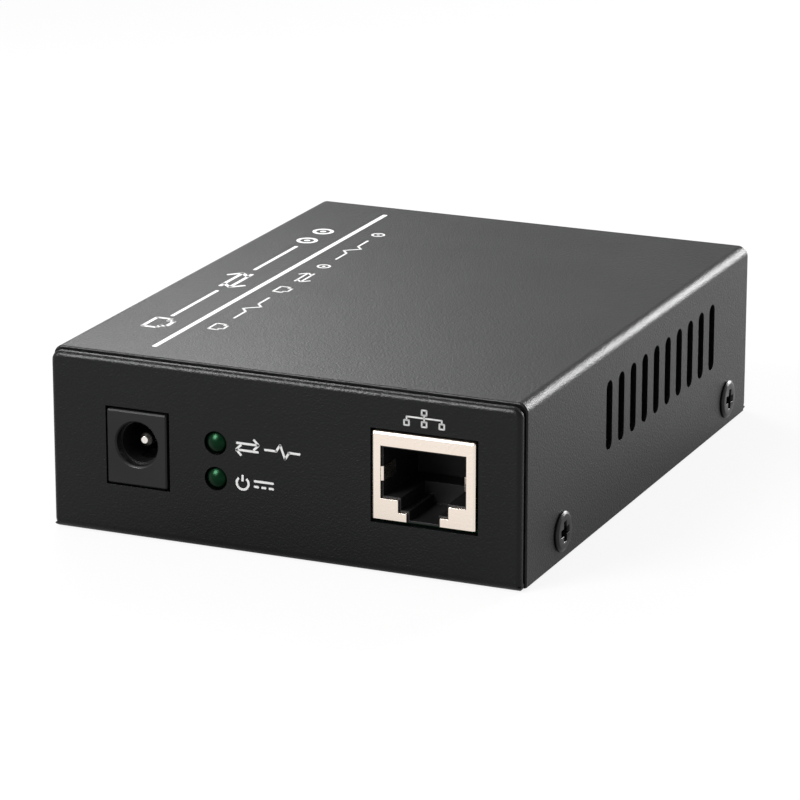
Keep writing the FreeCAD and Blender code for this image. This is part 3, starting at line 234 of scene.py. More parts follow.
def surface_group():
    """Fine grain over a broader peel: a height, a mottled colour and an uneven roughness."""
    group = bpy.data.node_groups.new("grain_and_peel", "ShaderNodeTree")
    for name, value in (
        ("Grain Scale", 3000.0), ("Peel Scale", 700.0), ("Peel Share", 0.5), ("Patch Scale", 60.0),
    ):
        add_socket(group, "INPUT", "NodeSocketFloat", name, value)
    add_socket(group, "INPUT", "NodeSocketColor", "Dark")
    add_socket(group, "INPUT", "NodeSocketColor", "Pale")
    add_socket(group, "INPUT", "NodeSocketFloat", "Smoothest", 0.3)
    add_socket(group, "INPUT", "NodeSocketFloat", "Roughest", 0.5)
    add_socket(group, "OUTPUT", "NodeSocketColor", "Color")
    add_socket(group, "OUTPUT", "NodeSocketFloat", "Roughness")
    add_socket(group, "OUTPUT", "NodeSocketFloat", "Height")
    nodes = group.nodes
    links = group.links
    given = nodes.new("NodeGroupInput")
    result = nodes.new("NodeGroupOutput")
    place = nodes.new("ShaderNodeTexCoord")

    def noise(scale, detail):
        texture = nodes.new("ShaderNodeTexNoise")
        texture.inputs["Detail"].default_value = detail
        links.new(place.outputs["Object"], texture.inputs["Vector"])
        links.new(given.outputs[scale], texture.inputs["Scale"])
        return texture.outputs["Fac"]

    grain = noise("Grain Scale", 2.0)
    peel = noise("Peel Scale", 1.0)
    patch = noise("Patch Scale", 3.0)

    height = nodes.new("ShaderNodeMix")
    links.new(given.outputs["Peel Share"], height.inputs["Factor"])
    links.new(grain, height.inputs["A"])
    links.new(peel, height.inputs["B"])
    links.new(height.outputs["Result"], result.inputs["Height"])

    # the colour follows the mean of grain and patch
    blend = nodes.new("ShaderNodeMath")
    blend.operation = "MULTIPLY_ADD"
    blend.inputs[1].default_value = 0.5
    links.new(grain, blend.inputs[0])
    halved = nodes.new("ShaderNodeMath")
    halved.operation = "MULTIPLY"
    halved.inputs[1].default_value = 0.5
    links.new(patch, halved.inputs[0])
    links.new(halved.outputs[0], blend.inputs[2])

    tint = nodes.new("ShaderNodeMix")
    tint.data_type = "RGBA"
    links.new(blend.outputs[0], tint.inputs["Factor"])
    links.new(given.outputs["Dark"], tint.inputs[6])
    links.new(given.outputs["Pale"], tint.inputs[7])
    links.new(tint.outputs[2], result.inputs["Color"])

    uneven = nodes.new("ShaderNodeMapRange")
    uneven.inputs["From Min"].default_value = 0.3
    uneven.inputs["From Max"].default_value = 0.7
    links.new(patch, uneven.inputs["Value"])
    links.new(given.outputs["Smoothest"], uneven.inputs["To Min"])
    links.new(given.outputs["Roughest"], uneven.inputs["To Max"])
    links.new(uneven.outputs["Result"], result.inputs["Roughness"])
    return group


def drawn_group():
    """Fine lines drawn along X by a rolling mill, as a height and an uneven roughness."""
    group = bpy.data.node_groups.new("drawn_lines", "ShaderNodeTree")
    add_socket(group, "INPUT", "NodeSocketFloat", "Line Scale", 6000.0)
    add_socket(group, "INPUT", "NodeSocketFloat", "Smoothest", 0.2)
    add_socket(group, "INPUT", "NodeSocketFloat", "Roughest", 0.4)
    add_socket(group, "OUTPUT", "NodeSocketFloat", "Roughness")
    add_socket(group, "OUTPUT", "NodeSocketFloat", "Height")
    nodes = group.nodes
    links = group.links
    given = nodes.new("NodeGroupInput")
    result = nodes.new("NodeGroupOutput")
    place = nodes.new("ShaderNodeTexCoord")
    stretch = nodes.new("ShaderNodeMapping")
    stretch.inputs["Scale"].default_value = (0.04, 1.0, 1.0)
    lines = nodes.new("ShaderNodeTexNoise")
    lines.inputs["Detail"].default_value = 2.0
    links.new(place.outputs["Object"], stretch.inputs["Vector"])
    links.new(stretch.outputs["Vector"], lines.inputs["Vector"])
    links.new(given.outputs["Line Scale"], lines.inputs["Scale"])
    links.new(lines.outputs["Fac"], result.inputs["Height"])
    uneven = nodes.new("ShaderNodeMapRange")
    links.new(lines.outputs["Fac"], uneven.inputs["Value"])
    links.new(given.outputs["Smoothest"], uneven.inputs["To Min"])
    links.new(given.outputs["Roughest"], uneven.inputs["To Max"])
    links.new(uneven.outputs["Result"], result.inputs["Roughness"])
    return group


GRAIN = surface_group()
DRAWN = drawn_group()


def maths(tree, operation, *terms):
    """Maths node on sockets and numbers; gives its result."""
    node = tree.nodes.new("ShaderNodeMath")
    node.operation = operation
    for term, socket in zip(terms, node.inputs):
        if isinstance(term, (int, float)):
            socket.default_value = term
        else:
            tree.links.new(term, socket)
    return node.outputs[0]


def new_material(name):
    material = bpy.data.materials.new(name)
    material.use_nodes = True
    return material, material.node_tree, material.node_tree.nodes["Principled BSDF"]


def raise_surface(tree, shader, height, depth):
    """Feeds a height to the shader's normal, as a bump that deep."""
    bump = tree.nodes.new("ShaderNodeBump")
    bump.inputs["Strength"].default_value = 1.0
    bump.inputs["Distance"].default_value = depth
    tree.links.new(height, bump.inputs["Height"])
    tree.links.new(bump.outputs["Normal"], shader.inputs["Normal"])


def grained(name, dark, pale, smoothest, roughest, depth, grain=3000.0, peel=700.0, peel_share=0.5,
            specular=0.5):
    """Material whose colour, roughness and bump come from the grain group."""
    material, tree, shader = new_material(name)
    effect = tree.nodes.new("ShaderNodeGroup")
    effect.node_tree = GRAIN
    effect.inputs["Grain Scale"].default_value = grain
    effect.inputs["Peel Scale"].default_value = peel
    effect.inputs["Peel Share"].default_value = peel_share
    effect.inputs["Dark"].default_value = (*dark, 1.0)
    effect.inputs["Pale"].default_value = (*pale, 1.0)
    effect.inputs["Smoothest"].default_value = smoothest
    effect.inputs["Roughest"].default_value = roughest
    shader.inputs["Specular IOR Level"].default_value = specular
    tree.links.new(effect.outputs["Color"], shader.inputs["Base Color"])
    tree.links.new(effect.outputs["Roughness"], shader.inputs["Roughness"])
    raise_surface(tree, shader, effect.outputs["Height"], depth)
    return material


def drawn_metal(name, color, smoothest, roughest, depth):
    """Bare or plated sheet with the lines it was rolled with."""
    material, tree, shader = new_material(name)
    effect = tree.nodes.new("ShaderNodeGroup")
    effect.node_tree = DRAWN
    effect.inputs["Smoothest"].default_value = smoothest
    effect.inputs["Roughest"].default_value = roughest
    shader.inputs["Base Color"].default_value = (*color, 1.0)
    shader.inputs["Metallic"].default_value = 1.0
    tree.links.new(effect.outputs["Roughness"], shader.inputs["Roughness"])
    raise_surface(tree, shader, effect.outputs["Height"], depth)
    return material


def tinted_lens():
    """Deep green epoxy, a little cloudy inside, with painted shade that darkens its colour towards its rim.
    """
    material = grained(
        "green_epoxy", (0.0003, 0.006, 0.0018), (0.0006, 0.012, 0.0036), 0.27, 0.31, 0.0003 * MM,
        grain=900.0, peel=300.0, specular=0.18,
    )
    tree = material.node_tree
    shader = tree.nodes["Principled BSDF"]
    shader.inputs["Specular Tint"].default_value = (0.3, 1.0, 0.5, 1.0)
    # painted shade: the lens's colour darkens towards its rim, where it turns away from the view
    turned = tree.nodes.new("ShaderNodeLayerWeight")
    turned.inputs["Blend"].default_value = 0.35
    painted_rim_shade = tree.nodes.new("ShaderNodeMix")
    painted_rim_shade.data_type = "RGBA"
    cloudy = shader.inputs["Base Color"].links[0].from_socket
    tree.links.new(turned.outputs["Facing"], painted_rim_shade.inputs["Factor"])
    tree.links.new(cloudy, painted_rim_shade.inputs[6])
    painted_rim_shade.inputs[7].default_value = (0.0003, 0.004, 0.0012, 1.0)
    tree.links.new(painted_rim_shade.outputs[2], shader.inputs["Base Color"])
    return material


def make_materials():
    """Every finish on the converter, by the record's material slots."""
    return {
        "powder_coat": grained(
            "black_powder_coat", (0.0008, 0.0009, 0.0012), (0.0024, 0.0026, 0.0033), 0.37, 0.4, 0.075 * MM,
            grain=3500.0, peel=900.0, peel_share=0.06, specular=0.195,
        ),
        "black_screw": grained(
            "blackened_steel", (0.004, 0.004, 0.0043), (0.008, 0.008, 0.0086), 0.27, 0.33, 0.004 * MM,
            grain=5000.0, peel=1200.0, specular=0.22,
        ),
        "socket_black": grained(
            "black_moulding", (0.0045, 0.0045, 0.005), (0.009, 0.009, 0.0098), 0.35, 0.5, 0.006 * MM,
            grain=5000.0, peel=1500.0, peel_share=0.3, specular=0.25,
        ),
        "lens_green": tinted_lens(),
        "shield_tin": drawn_metal("tinned_shield", (0.84, 0.74, 0.65), 0.22, 0.34, 0.003 * MM),
        "contact_gold": drawn_metal("gold_plated_wire", (0.95, 0.68, 0.3), 0.12, 0.22, 0.001 * MM),
        "pin_nickel": drawn_metal("nickel_plate", (0.78, 0.75, 0.7), 0.12, 0.22, 0.001 * MM),
        "lead_tin": drawn_metal("tinned_lead", (0.74, 0.74, 0.75), 0.25, 0.38, 0.001 * MM),
        "standoff_zinc": drawn_metal("zinc_plate", (0.62, 0.64, 0.67), 0.25, 0.4, 0.002 * MM),
        "can_aluminium": drawn_metal("can_sleeve", (0.78, 0.79, 0.8), 0.2, 0.34, 0.002 * MM),
        "board_green": grained(
            "solder_mask", (0.006, 0.05, 0.02), (0.012, 0.085, 0.035), 0.25, 0.4, 0.01 * MM,
            grain=1500.0, peel=500.0,
        ),
        "chip_black": grained(
            "moulded_epoxy", (0.012, 0.012, 0.012), (0.026, 0.026, 0.027), 0.45, 0.6, 0.01 * MM,
            grain=5000.0, peel=1800.0,
        ),
        "ferrite_grey": grained(
            "sintered_ferrite", (0.04, 0.04, 0.043), (0.08, 0.08, 0.085), 0.55, 0.7, 0.02 * MM,
            grain=4000.0, peel=900.0,
        ),
        "port_blue": grained(
            "blue_moulding", (0.012, 0.085, 0.34), (0.02, 0.12, 0.42), 0.35, 0.48, 0.008 * MM,
            grain=5000.0, peel=1500.0, peel_share=0.3,
        ),
        "holder_white": grained(
            "natural_moulding", (0.6, 0.6, 0.57), (0.72, 0.72, 0.68), 0.35, 0.5, 0.006 * MM,
            grain=5000.0, peel=1500.0, peel_share=0.3,
        ),
        "sleeve_ceramic": grained(
            "zirconia", (0.78, 0.77, 0.73), (0.86, 0.85, 0.81), 0.12, 0.2, 0.001 * MM, grain=6000.0,
        ),
        "resistor_black": grained(
            "resistor_glaze", (0.02, 0.02, 0.022), (0.04, 0.04, 0.044), 0.25, 0.4, 0.004 * MM,
        ),
        "capacitor_tan": grained(
            "fired_ceramic", (0.34, 0.23, 0.13), (0.46, 0.32, 0.19), 0.4, 0.55, 0.006 * MM,
        ),
    }


MATERIALS = make_materials()
WHITE_INK = grained("white_ink", (0.84, 0.84, 0.83), (0.9, 0.9, 0.89), 0.4, 0.55, 0.002 * MM, grain=4000.0)

SLOT_OF = {part["node"]: part["material_slot"] for part in frame["record"]["subparts"]}


# ---------------------------------------------------------------- solids carried over
def on_fold(across, down):
    """Whether a point that far inside both faces lies on the round between them."""
    return abs(math.hypot(FOLD_OUTSIDE - across, FOLD_OUTSIDE - down) - FOLD_OUTSIDE) < ROUND_REACH


def panel_rims():
    """Test for points on the outer rims of the end panels, down to their rounded feet."""
    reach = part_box("base_chassis")[1]

    def on_rim(point):
        inward = reach.y - abs(point.y)
        outside = on_fold(inward, point.z) if point.z < FOLD_OUTSIDE else inward < MERGE_REACH
        above_foot = point.z > PANEL_FOOT - 2 * ROUND_REACH
        near_rim = reach.x - abs(point.x) < FOLD_OUTSIDE or point.z > reach.z - FOLD_OUTSIDE
        return outside and above_foot and near_rim

    return on_rim


def cover_rims():
    """Test for points on the outside of the cover, at either end."""
    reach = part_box("top_cover")[1]

    def on_rim(point):
        across = reach.x - abs(point.x)
        down = reach.z - point.z
        at_fold = across < FOLD_OUTSIDE and down < FOLD_OUTSIDE
        outside = on_fold(across, down) if at_fold else min(across, down) < MERGE_REACH
        return outside and reach.y - abs(point.y) < MERGE_REACH

    return on_rim


def set_panels_in(copy):
    """Draws the end panels' rims in from the cover's faces, so that its ends show round them."""
    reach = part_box("base_chassis")[1]
    near_end = reach.y - FOLD_OUTSIDE - MERGE_REACH
    shoulder = FOLD_OUTSIDE + MERGE_REACH

    def at_top(point):
        return abs(point.y) > near_end and reach.z - point.z < shoulder

    def at_side(point, side):
        inward = reach.x - side * point.x
        rim = shoulder if at_top(point) else PANEL_FOOT + MERGE_REACH
        return abs(point.y) > near_end and inward < rim

    moves = [
        (lambda point: at_side(point, 1), (-PANEL_SET_IN, 0, 0)),
        (lambda point: at_side(point, -1), (PANEL_SET_IN, 0, 0)),
        (at_top, (0, 0, -PANEL_SET_DOWN)),
    ]
    for chosen, way in moves:
        edit(copy)
        bpy.ops.mesh.select_mode(type="VERT")
        bpy.ops.mesh.select_all(action="DESELECT")
        bpy.ops.object.mode_set(mode="OBJECT")
        for vertex in copy.data.vertices:
            vertex.select = chosen(vertex.co)
        bpy.ops.object.mode_set(mode="EDIT")
        bpy.ops.transform.translate(value=way)


RIMS = {"base_chassis": (panel_rims(), RIM_EASE), "top_cover": (cover_rims(), COVER_RIM_EASE)}


def soften(node, ease):
    """Makes a copy of a solid with its facets merged, its edges eased and its curves smooth."""
    name = "finished_" + node
    copy = bpy.data.objects.new(name, frame["nodes"][node].data.copy())
    copy.data.name = name
    bpy.context.scene.collection.objects.link(copy)
    edit(copy)
    bpy.ops.mesh.remove_doubles(threshold=MERGE_REACH)
    bpy.ops.mesh.dissolve_limited(angle_limit=FLAT_TURN)
    if node == "base_chassis":
        set_panels_in(copy)
    if node in RIMS:
        on_rim, rim_ease = RIMS[node]
        bpy.ops.mesh.select_mode(type="EDGE")
        bpy.ops.mesh.select_all(action="DESELECT")
        bpy.ops.mesh.edges_select_sharp(sharpness=SEAM_TURN)
        keep_selected_edges(copy, on_rim)
        bpy.ops.mesh.bevel(offset=rim_ease, segments=5, profile=0.5, affect="EDGES")
    done_editing()
    apply_modifier(
        copy, "BEVEL", width=ease, segments=3, limit_method="ANGLE", angle_limit=SEAM_TURN,
        use_clamp_overlap=True, harden_normals=False,
    )
    smoothed(copy)
    apply_modifier(copy, "WEIGHTED_NORMAL", mode="FACE_AREA", weight=80, keep_sharp=True)
    slot = SLOT_OF[node]
    dress(copy, MATERIALS[slot], slot, node)


def soften_what_shows():
    """Every solid that can be seen from outside gets eased edges."""
    eases = {
        "base_chassis": FOLD_EASE,
        "top_cover": FOLD_EASE,
        "power_socket_housing": MOULD_EASE,
        "power_socket_pin": PIN_EASE,
        "power_socket_spring": LEAD_EASE,
        "network_socket_shield": SHIELD_EASE,
        "network_socket_housing": SHIELD_EASE,
        "network_socket_contacts": WIRE_EASE,
    }
    for side in ("left", "right"):
        eases["fibre_port_" + side] = MOULD_EASE
        eases["fibre_holder_" + side] = SHIELD_EASE
        eases["fibre_sleeve_" + side] = LEAD_EASE
    for node, ease in eases.items():
        soften(node, ease)
    return set(eases)


def finish_the_rest(softened_nodes):
    """Solids that keep their own mesh take their finish from the record's slots."""
    for node, solid in frame["nodes"].items():
        if node in softened_nodes:
            continue
        solid.data.materials.clear()
        solid.data.materials.append(MATERIALS[SLOT_OF[node]])


# ---------------------------------------------------------------- cover screws
def screw_head(radius, height):
    """Flat head on its seat at z = 0, its face raised a little above its rim."""
    rim_height = height - SCREW_SHOULDER
    bpy.ops.mesh.primitive_cylinder_add(
        vertices=SCREW_ROUND, radius=radius, depth=rim_height, location=(0, 0, rim_height / 2),
    )
    head = named("screw_head")
    apply_place(head)
    edit(head)
    faces_chosen(head, lambda centre, normal: normal.z > 0.9)
    bpy.ops.mesh.extrude_region_move(TRANSFORM_OT_translate={"value": (0, 0, SCREW_SHOULDER)})
    share = (radius - SCREW_RIM) / radius
    bpy.ops.transform.resize(value=(share, share, 1.0))
    done_editing()
    return head


def cross_blade(turn, top):
    """One tapered blade of the driver's cross."""
    bpy.ops.mesh.primitive_cube_add(size=1, location=(0, 0, top - CROSS_DEPTH / 2), rotation=(0, 0, turn))
    blade = named("cross_blade")
    blade.scale = (CROSS_SPAN, CROSS_SLOT, CROSS_DEPTH)
    apply_place(blade)
    edit(blade)
    faces_chosen(blade, lambda centre, normal: normal.z < -0.9)
    bpy.ops.transform.resize(value=(CROSS_FLOOR, CROSS_FLOOR, 1.0))
    done_editing()
    return blade


def screw_thread(radius, length):
    """Ridge that winds down a shank from its seat at z = 0."""
    turns = int(length / THREAD_PITCH) - 1
    root = radius - THREAD_DEPTH * 1.5
    corners = ((root, -THREAD_FOOT), (radius, -THREAD_CREST), (root, THREAD_FOOT), (radius, THREAD_CREST))
    bpy.ops.mesh.primitive_plane_add(size=1)
    ridge = named("screw_ridge")
    for vertex, (reach, rise) in zip(ridge.data.vertices, corners):
        vertex.co = (reach, 0, (rise + 0.5) * THREAD_PITCH - length)
    apply_modifier(
        ridge, "SCREW", axis="Z", angle=turns * math.tau, screw_offset=turns * THREAD_PITCH,
        steps=SCREW_ROUND * turns, render_steps=SCREW_ROUND * turns, use_smooth_shade=False,
    )
    edit(ridge)
    bpy.ops.mesh.select_all(action="SELECT")
    bpy.ops.mesh.fill_holes(sides=len(corners))
    done_editing()
    return ridge


def make_cover_screws():
    """The four cover screws: one is modelled, and each seat takes a copy."""
    low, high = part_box("cover_screws")
    face_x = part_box("top_cover")[1].x
    proud = high.x - face_x
    head_radius = (high.z - low.z) / 2
    head = screw_head(head_radius, proud)
    core_radius = SCREW_SHANK - THREAD_DEPTH
    bpy.ops.mesh.primitive_cylinder_add(
        vertices=SCREW_ROUND, radius=core_radius, depth=SCREW_LENGTH, location=(0, 0, -SCREW_LENGTH / 2),
    )
    core = named("screw_core")
    for piece in (head, core):
        for turn in (0, math.pi / 2):
            cut_with(piece, cross_blade(turn, proud + MERGE_REACH))  # just past the face, for a clean cut
    apply_modifier(
        head, "BEVEL", width=SCREW_EASE, segments=3, limit_method="ANGLE", angle_limit=math.radians(20),
    )
    screw = joined([head, core, screw_thread(SCREW_SHANK, SCREW_LENGTH)], "screw_pattern")
    normals_outwards(screw)
    middle_z = (low.z + high.z) / 2
    front = low.y + head_radius
    rear = high.y - head_radius
    copies = []
    for side, y, twist in ((1, front, 0.05), (1, rear, -0.12), (-1, front, 0.7), (-1, rear, 0.4)):
        copy = screw.copy()
        copy.data = screw.data.copy()
        bpy.context.scene.collection.objects.link(copy)
        seat = Matrix.Translation((side * face_x, y, middle_z))
        lean = Matrix.Rotation(side * math.pi / 2, 4, "Y")
        copy.matrix_world = seat @ lean @ Matrix.Rotation(twist, 4, "Z")
        apply_place(copy)
        copies.append(copy)
    bpy.data.objects.remove(screw, do_unlink=True)
    screws = joined(copies, "finished_cover_screws")
    smoothed(screws)
    dress(screws, MATERIALS["black_screw"], "black_screw", "cover_screws")


# ---------------------------------------------------------------- indicator lights
def make_light(node):
    """Round light lying along Y: a domed nose in front of a plain barrel."""
    low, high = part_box(node)
    radius = (high.x - low.x) / 2
    middle = (low + high) / 2
    shoulder = math.sqrt(LENS_BALL ** 2 - radius ** 2)
    length = high.y - low.y
    bpy.ops.mesh.primitive_uv_sphere_add(segments=LENS_ROUND, ring_count=LENS_RINGS, radius=LENS_BALL)
    lens = named("finished_" + node)
    edit(lens)
    bpy.ops.mesh.bisect(
        plane_co=(0, 0, shoulder), plane_no=(0, 0, 1), clear_inner=True, use_fill=True, threshold=MERGE_REACH,
    )
    faces_chosen(lens, lambda centre, normal: normal.z < -0.99)
    barrel = length - LENS_BALL + shoulder
    bpy.ops.mesh.extrude_region_move(TRANSFORM_OT_translate={"value": (0, 0, -barrel)})
    done_editing()
    normals_outwards(lens)
    apply_modifier(
        lens, "BEVEL", width=LENS_EASE, segments=3, limit_method="ANGLE", angle_limit=math.radians(40),
    )
    nose = Matrix.Translation((middle.x, low.y + LENS_BALL, middle.z))
    lens.matrix_world = nose @ Matrix.Rotation(math.pi / 2, 4, "X")
    apply_place(lens)
    smoothed(lens, math.radians(50))
    dress(lens, MATERIALS["lens_green"], "lens_green", node)


# ---------------------------------------------------------------- printing
def ink_bar(u, v, length, stroke):
    """Bar of ink with round ends, lying along U, on the plane z = 0."""
    bpy.ops.mesh.primitive_cube_add(size=1, location=(u, v, INK_HEIGHT / 2))
    bar = named("ink_bar")
    bar.scale = (length, stroke, INK_HEIGHT)
    apply_place(bar)
    edit(bar)
    bpy.ops.mesh.select_mode(type="EDGE")
    bpy.ops.mesh.select_all(action="DESELECT")
    bpy.ops.object.mode_set(mode="OBJECT")
    points = bar.data.vertices
    for edge in bar.data.edges:
        start, end = (points[index].co for index in edge.vertices)
        edge.select = abs(start.z - end.z) > INK_HEIGHT / 2
    bpy.ops.object.mode_set(mode="EDIT")
    bpy.ops.mesh.bevel(offset=stroke * 0.3, segments=3)
    done_editing()
    return bar


def ink_stroke(u, v, length, stroke, turn):
    """Bar of ink through (u, v), turned by an angle."""
    bar = ink_bar(0, 0, length, stroke)
    bar.matrix_world = Matrix.Translation((u, v, 0)) @ Matrix.Rotation(turn, 4, "Z")
    apply_place(bar)
    return bar


def ink_arc(u, v, radius, stroke, start, sweep):
    """Curved stroke of ink about (u, v)."""
    bpy.ops.mesh.primitive_plane_add(size=1)
    arc = named("ink_arc")
    arc.matrix_world = (
        Matrix.Translation((u, v, 0)) @ Matrix.Rotation(start, 4, "Z")
        @ Matrix.Translation((radius, 0, INK_HEIGHT / 2)) @ Matrix.Rotation(math.pi / 2, 4, "X")
        @ Matrix.Diagonal((stroke, INK_HEIGHT, 1, 1))
    )
    apply_place(arc)
    edit(arc)
    bpy.ops.mesh.spin(steps=40, angle=sweep, center=(u, v, 0), axis=(0, 0, -1))
    done_editing()
    normals_outwards(arc)
    return arc


def arrow(u, v, length, stroke, way):
    """Arrow along U: a shaft and two short strokes at its head."""
    tip = u + way * length / 2
    barb = length * 0.3
    reach = barb / 2 * math.cos(math.radians(45))
    strokes = [ink_bar(u, v, length, stroke)]
    for lift in (-1, 1):
        strokes.append(ink_stroke(
            tip - way * reach, v + lift * reach, barb + stroke * 0.5, stroke, -way * lift * math.radians(45),
        ))
    return strokes


def arrows_sign(u, v, width, height, stroke):
    """Two arrows, one each way."""
    return arrow(u, v + height * 0.24, width, stroke, 1) + arrow(u, v - height * 0.24, width, stroke, -1)


def ink_path(corners, stroke):
    """Joined straight strokes of ink from corner to corner."""
    strokes = []
    for (u1, v1), (u2, v2) in zip(corners, corners[1:]):
        length = math.hypot(u2 - u1, v2 - v1) + stroke * 0.6
        strokes.append(ink_stroke((u1 + u2) / 2, (v1 + v2) / 2, length, stroke, math.atan2(v2 - v1, u2 - u1)))
    return strokes


def pulse_sign(u, v, width, height, stroke):
    """Flat line with one sharp rise and fall, for traffic."""
    half = width / 2
    rise = height / 2
    corners = [
        (u - half, v), (u - half * 0.35, v), (u - half * 0.12, v + rise),
        (u + half * 0.16, v - rise), (u + half * 0.38, v), (u + half, v),
    ]
    return ink_path(corners, stroke)


def power_sign(u, v, height, stroke):
    """Open ring with a bar through its gap."""
    gap = math.radians(80)
    ring = ink_arc(u, v - height * 0.06, height * 0.4, stroke, math.pi / 2 + gap / 2, math.tau - gap)
    bar = ink_stroke(u, v + height * 0.27, height * 0.42, stroke, math.pi / 2)
    return [ring, bar]


def direct_current_sign(u, v, width, stroke):
    """Long bar over three short ones."""
    strokes = [ink_bar(u, v + stroke * 1.2, width, stroke)]
    for place in (-1, 0, 1):
        strokes.append(ink_bar(u + place * width * 0.37, v - stroke * 1.2, width * 0.25, stroke))
    return strokes


def square_outline(u, v, side, stroke):
    half = side / 2
    corners = [(u - half, v - half), (u + half, v - half), (u + half, v + half), (u - half, v + half)]
    return ink_path(corners + corners[:1], stroke)


def network_sign(u, v, width, height, stroke):
    """One box above, joined by lines to three below."""
    side = height * 0.3
    rail = v + height * 0.02
    upper = v + height / 2 - side / 2
    lower = v - height / 2 + side / 2
    reach = width / 2 - side / 2
    strokes = square_outline(u, upper, side, stroke)
    strokes += ink_path([(u, upper - side / 2), (u, lower + side / 2)], stroke)
    strokes += ink_path([
        (u - reach, lower + side / 2), (u - reach, rail), (u + reach, rail), (u + reach, lower + side / 2),
    ], stroke)
    for place in (-1, 0, 1):
        strokes += square_outline(u + place * reach, lower, side, stroke)
    return strokes


def socket_sign(u, v, width, height, stroke):
    """Stepped outline of a network socket, its latch side down."""
    half = width / 2
    step = width * 0.28
    shelf = v - height * 0.2
    corners = [
        (u - half, v + height / 2), (u + half, v + height / 2), (u + half, shelf), (u + step, shelf),
        (u + step, v - height / 2), (u - step, v - height / 2), (u - step, shelf), (u - half, shelf),
    ]
    return ink_path(corners + corners[:1], stroke)


def ferrule_sign(u, v, height, stroke):
    """Ring with a dot in the middle, for a fibre's end."""
    ring = ink_arc(u, v, height / 2 - stroke / 2, stroke, 0, math.tau)
    dot = ink_arc(u, v, stroke * 0.42, stroke * 0.8, 0, math.tau)
    return [ring, dot]


FRONT_FACING = Matrix.Rotation(math.pi / 2, 4, "X")
TOP_FACING = Matrix.Rotation(math.pi / 2, 4, "Z")


def printed(strokes, name, place, facing):
    """Joins a sign's strokes, lays them on a face of the case and inks them."""
    sign = joined(strokes, name)
    sign.matrix_world = Matrix.Translation(place) @ facing
    apply_place(sign)
    dress(sign, WHITE_INK, "powder_coat")


def print_front_signs():
    """Signs beside each light and one over the network socket."""
    panel_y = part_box("base_chassis")[0].y
    stroke = SMALL_STROKE
    traffic = arrows_sign(-3.2 * MM, 0, 3.5 * MM, 2.1 * MM, stroke)
    traffic += pulse_sign(2.2 * MM, 0, 5.4 * MM, 2.0 * MM, stroke)
    supply = power_sign(-1.9 * MM, 0, 2.3 * MM, stroke) + direct_current_sign(1.4 * MM, 0, 3.1 * MM, stroke)
    for node, strokes, name, inset in (
        ("link_light", traffic, "traffic_signs", 8.2 * MM),
        ("power_light", supply, "supply_signs", 6.1 * MM),
    ):
        low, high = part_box(node)
        middle = (low + high) / 2
        printed(strokes, name, (middle.x + inset, panel_y, middle.z), FRONT_FACING)
    low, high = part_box("network_socket_shield")
    sign = network_sign(0, 0, 6.0 * MM, 2.4 * MM, 0.24 * MM)
    printed(sign, "network_signs", ((low.x + high.x) / 2, panel_y, high.z + 2.55 * MM), FRONT_FACING)


def print_top():
    """A long line from front to back, between a plan of what the box joins and a row of small signs."""
    low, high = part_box("top_cover")
    line_x = low.x + LINE_IN
    start = low.y + LINE_FRONT
    end = high.y - LINE_REAR
    middle_y = (start + end) / 2
    line = ink_bar(0, 0, end - start, LINE_STROKE)
    printed([line], "top_line", (line_x, middle_y, high.z), TOP_FACING)

    stroke = PLAN_STROKE
    plan = socket_sign(-29.5 * MM, 0, 4.8 * MM, 3.3 * MM, stroke)
    plan += ink_path([(-25.5 * MM, 0), (-10.5 * MM, 0)], stroke)
    plan += arrows_sign(-4.0 * MM, 0, 8.0 * MM, 3.4 * MM, stroke)
    plan += ink_path([(2.5 * MM, 0), (17.5 * MM, 0)], stroke)
    plan += ferrule_sign(21.5 * MM, 0, 3.4 * MM, stroke) + ferrule_sign(27.5 * MM, 0, 3.4 * MM, stroke)
    printed(plan, "top_plan_signs", (line_x - 4.8 * MM, middle_y, high.z), TOP_FACING)

    stroke = SMALL_STROKE
    ways = socket_sign(-28.0 * MM, 0, 3.0 * MM, 2.1 * MM, stroke)
    ways += pulse_sign(-17.0 * MM, 0, 12.0 * MM, 2.2 * MM, stroke)
    ways += socket_sign(-6.0 * MM, 0, 3.0 * MM, 2.1 * MM, stroke)
    ways += arrows_sign(1.5 * MM, 0, 5.0 * MM, 2.1 * MM, stroke)
    ways += ferrule_sign(8.5 * MM, 0, 2.2 * MM, stroke)
    ways += pulse_sign(19.0 * MM, 0, 12.0 * MM, 2.2 * MM, stroke)
    ways += ferrule_sign(29.0 * MM, 0, 2.2 * MM, stroke)
    printed(ways, "top_small_signs", (line_x + 4.0 * MM, middle_y, high.z), TOP_FACING)


# ---------------------------------------------------------------- room, light and camera
def seen_rays(tree):
    """Factor that is 1 for camera, glossy and transmission rays."""
    path = tree.nodes.new("ShaderNodeLightPath").outputs
    either = maths(tree, "MAXIMUM", path["Is Camera Ray"], path["Is Glossy Ray"])
    return maths(tree, "MAXIMUM", either, path["Is Transmission Ray"])


def camera_or(tree, value):
    """Factor that is 1 for camera rays and the given value for the others."""
    path = tree.nodes.new("ShaderNodeLightPath").outputs
    return maths(tree, "MAXIMUM", path["Is Camera Ray"], value)


def ramped(tree, value, start, end, first, last):
    """Value carried from one range into another, and held at its ends."""
    ramp = tree.nodes.new("ShaderNodeMapRange")
    ramp.interpolation_type = "SMOOTHSTEP"
    ramp.inputs["From Min"].default_value = start
    ramp.inputs["From Max"].default_value = end
    ramp.inputs["To Min"].default_value = first
    ramp.inputs["To Max"].default_value = last
    tree.links.new(value, ramp.inputs["Value"])
    return ramp.outputs["Result"]


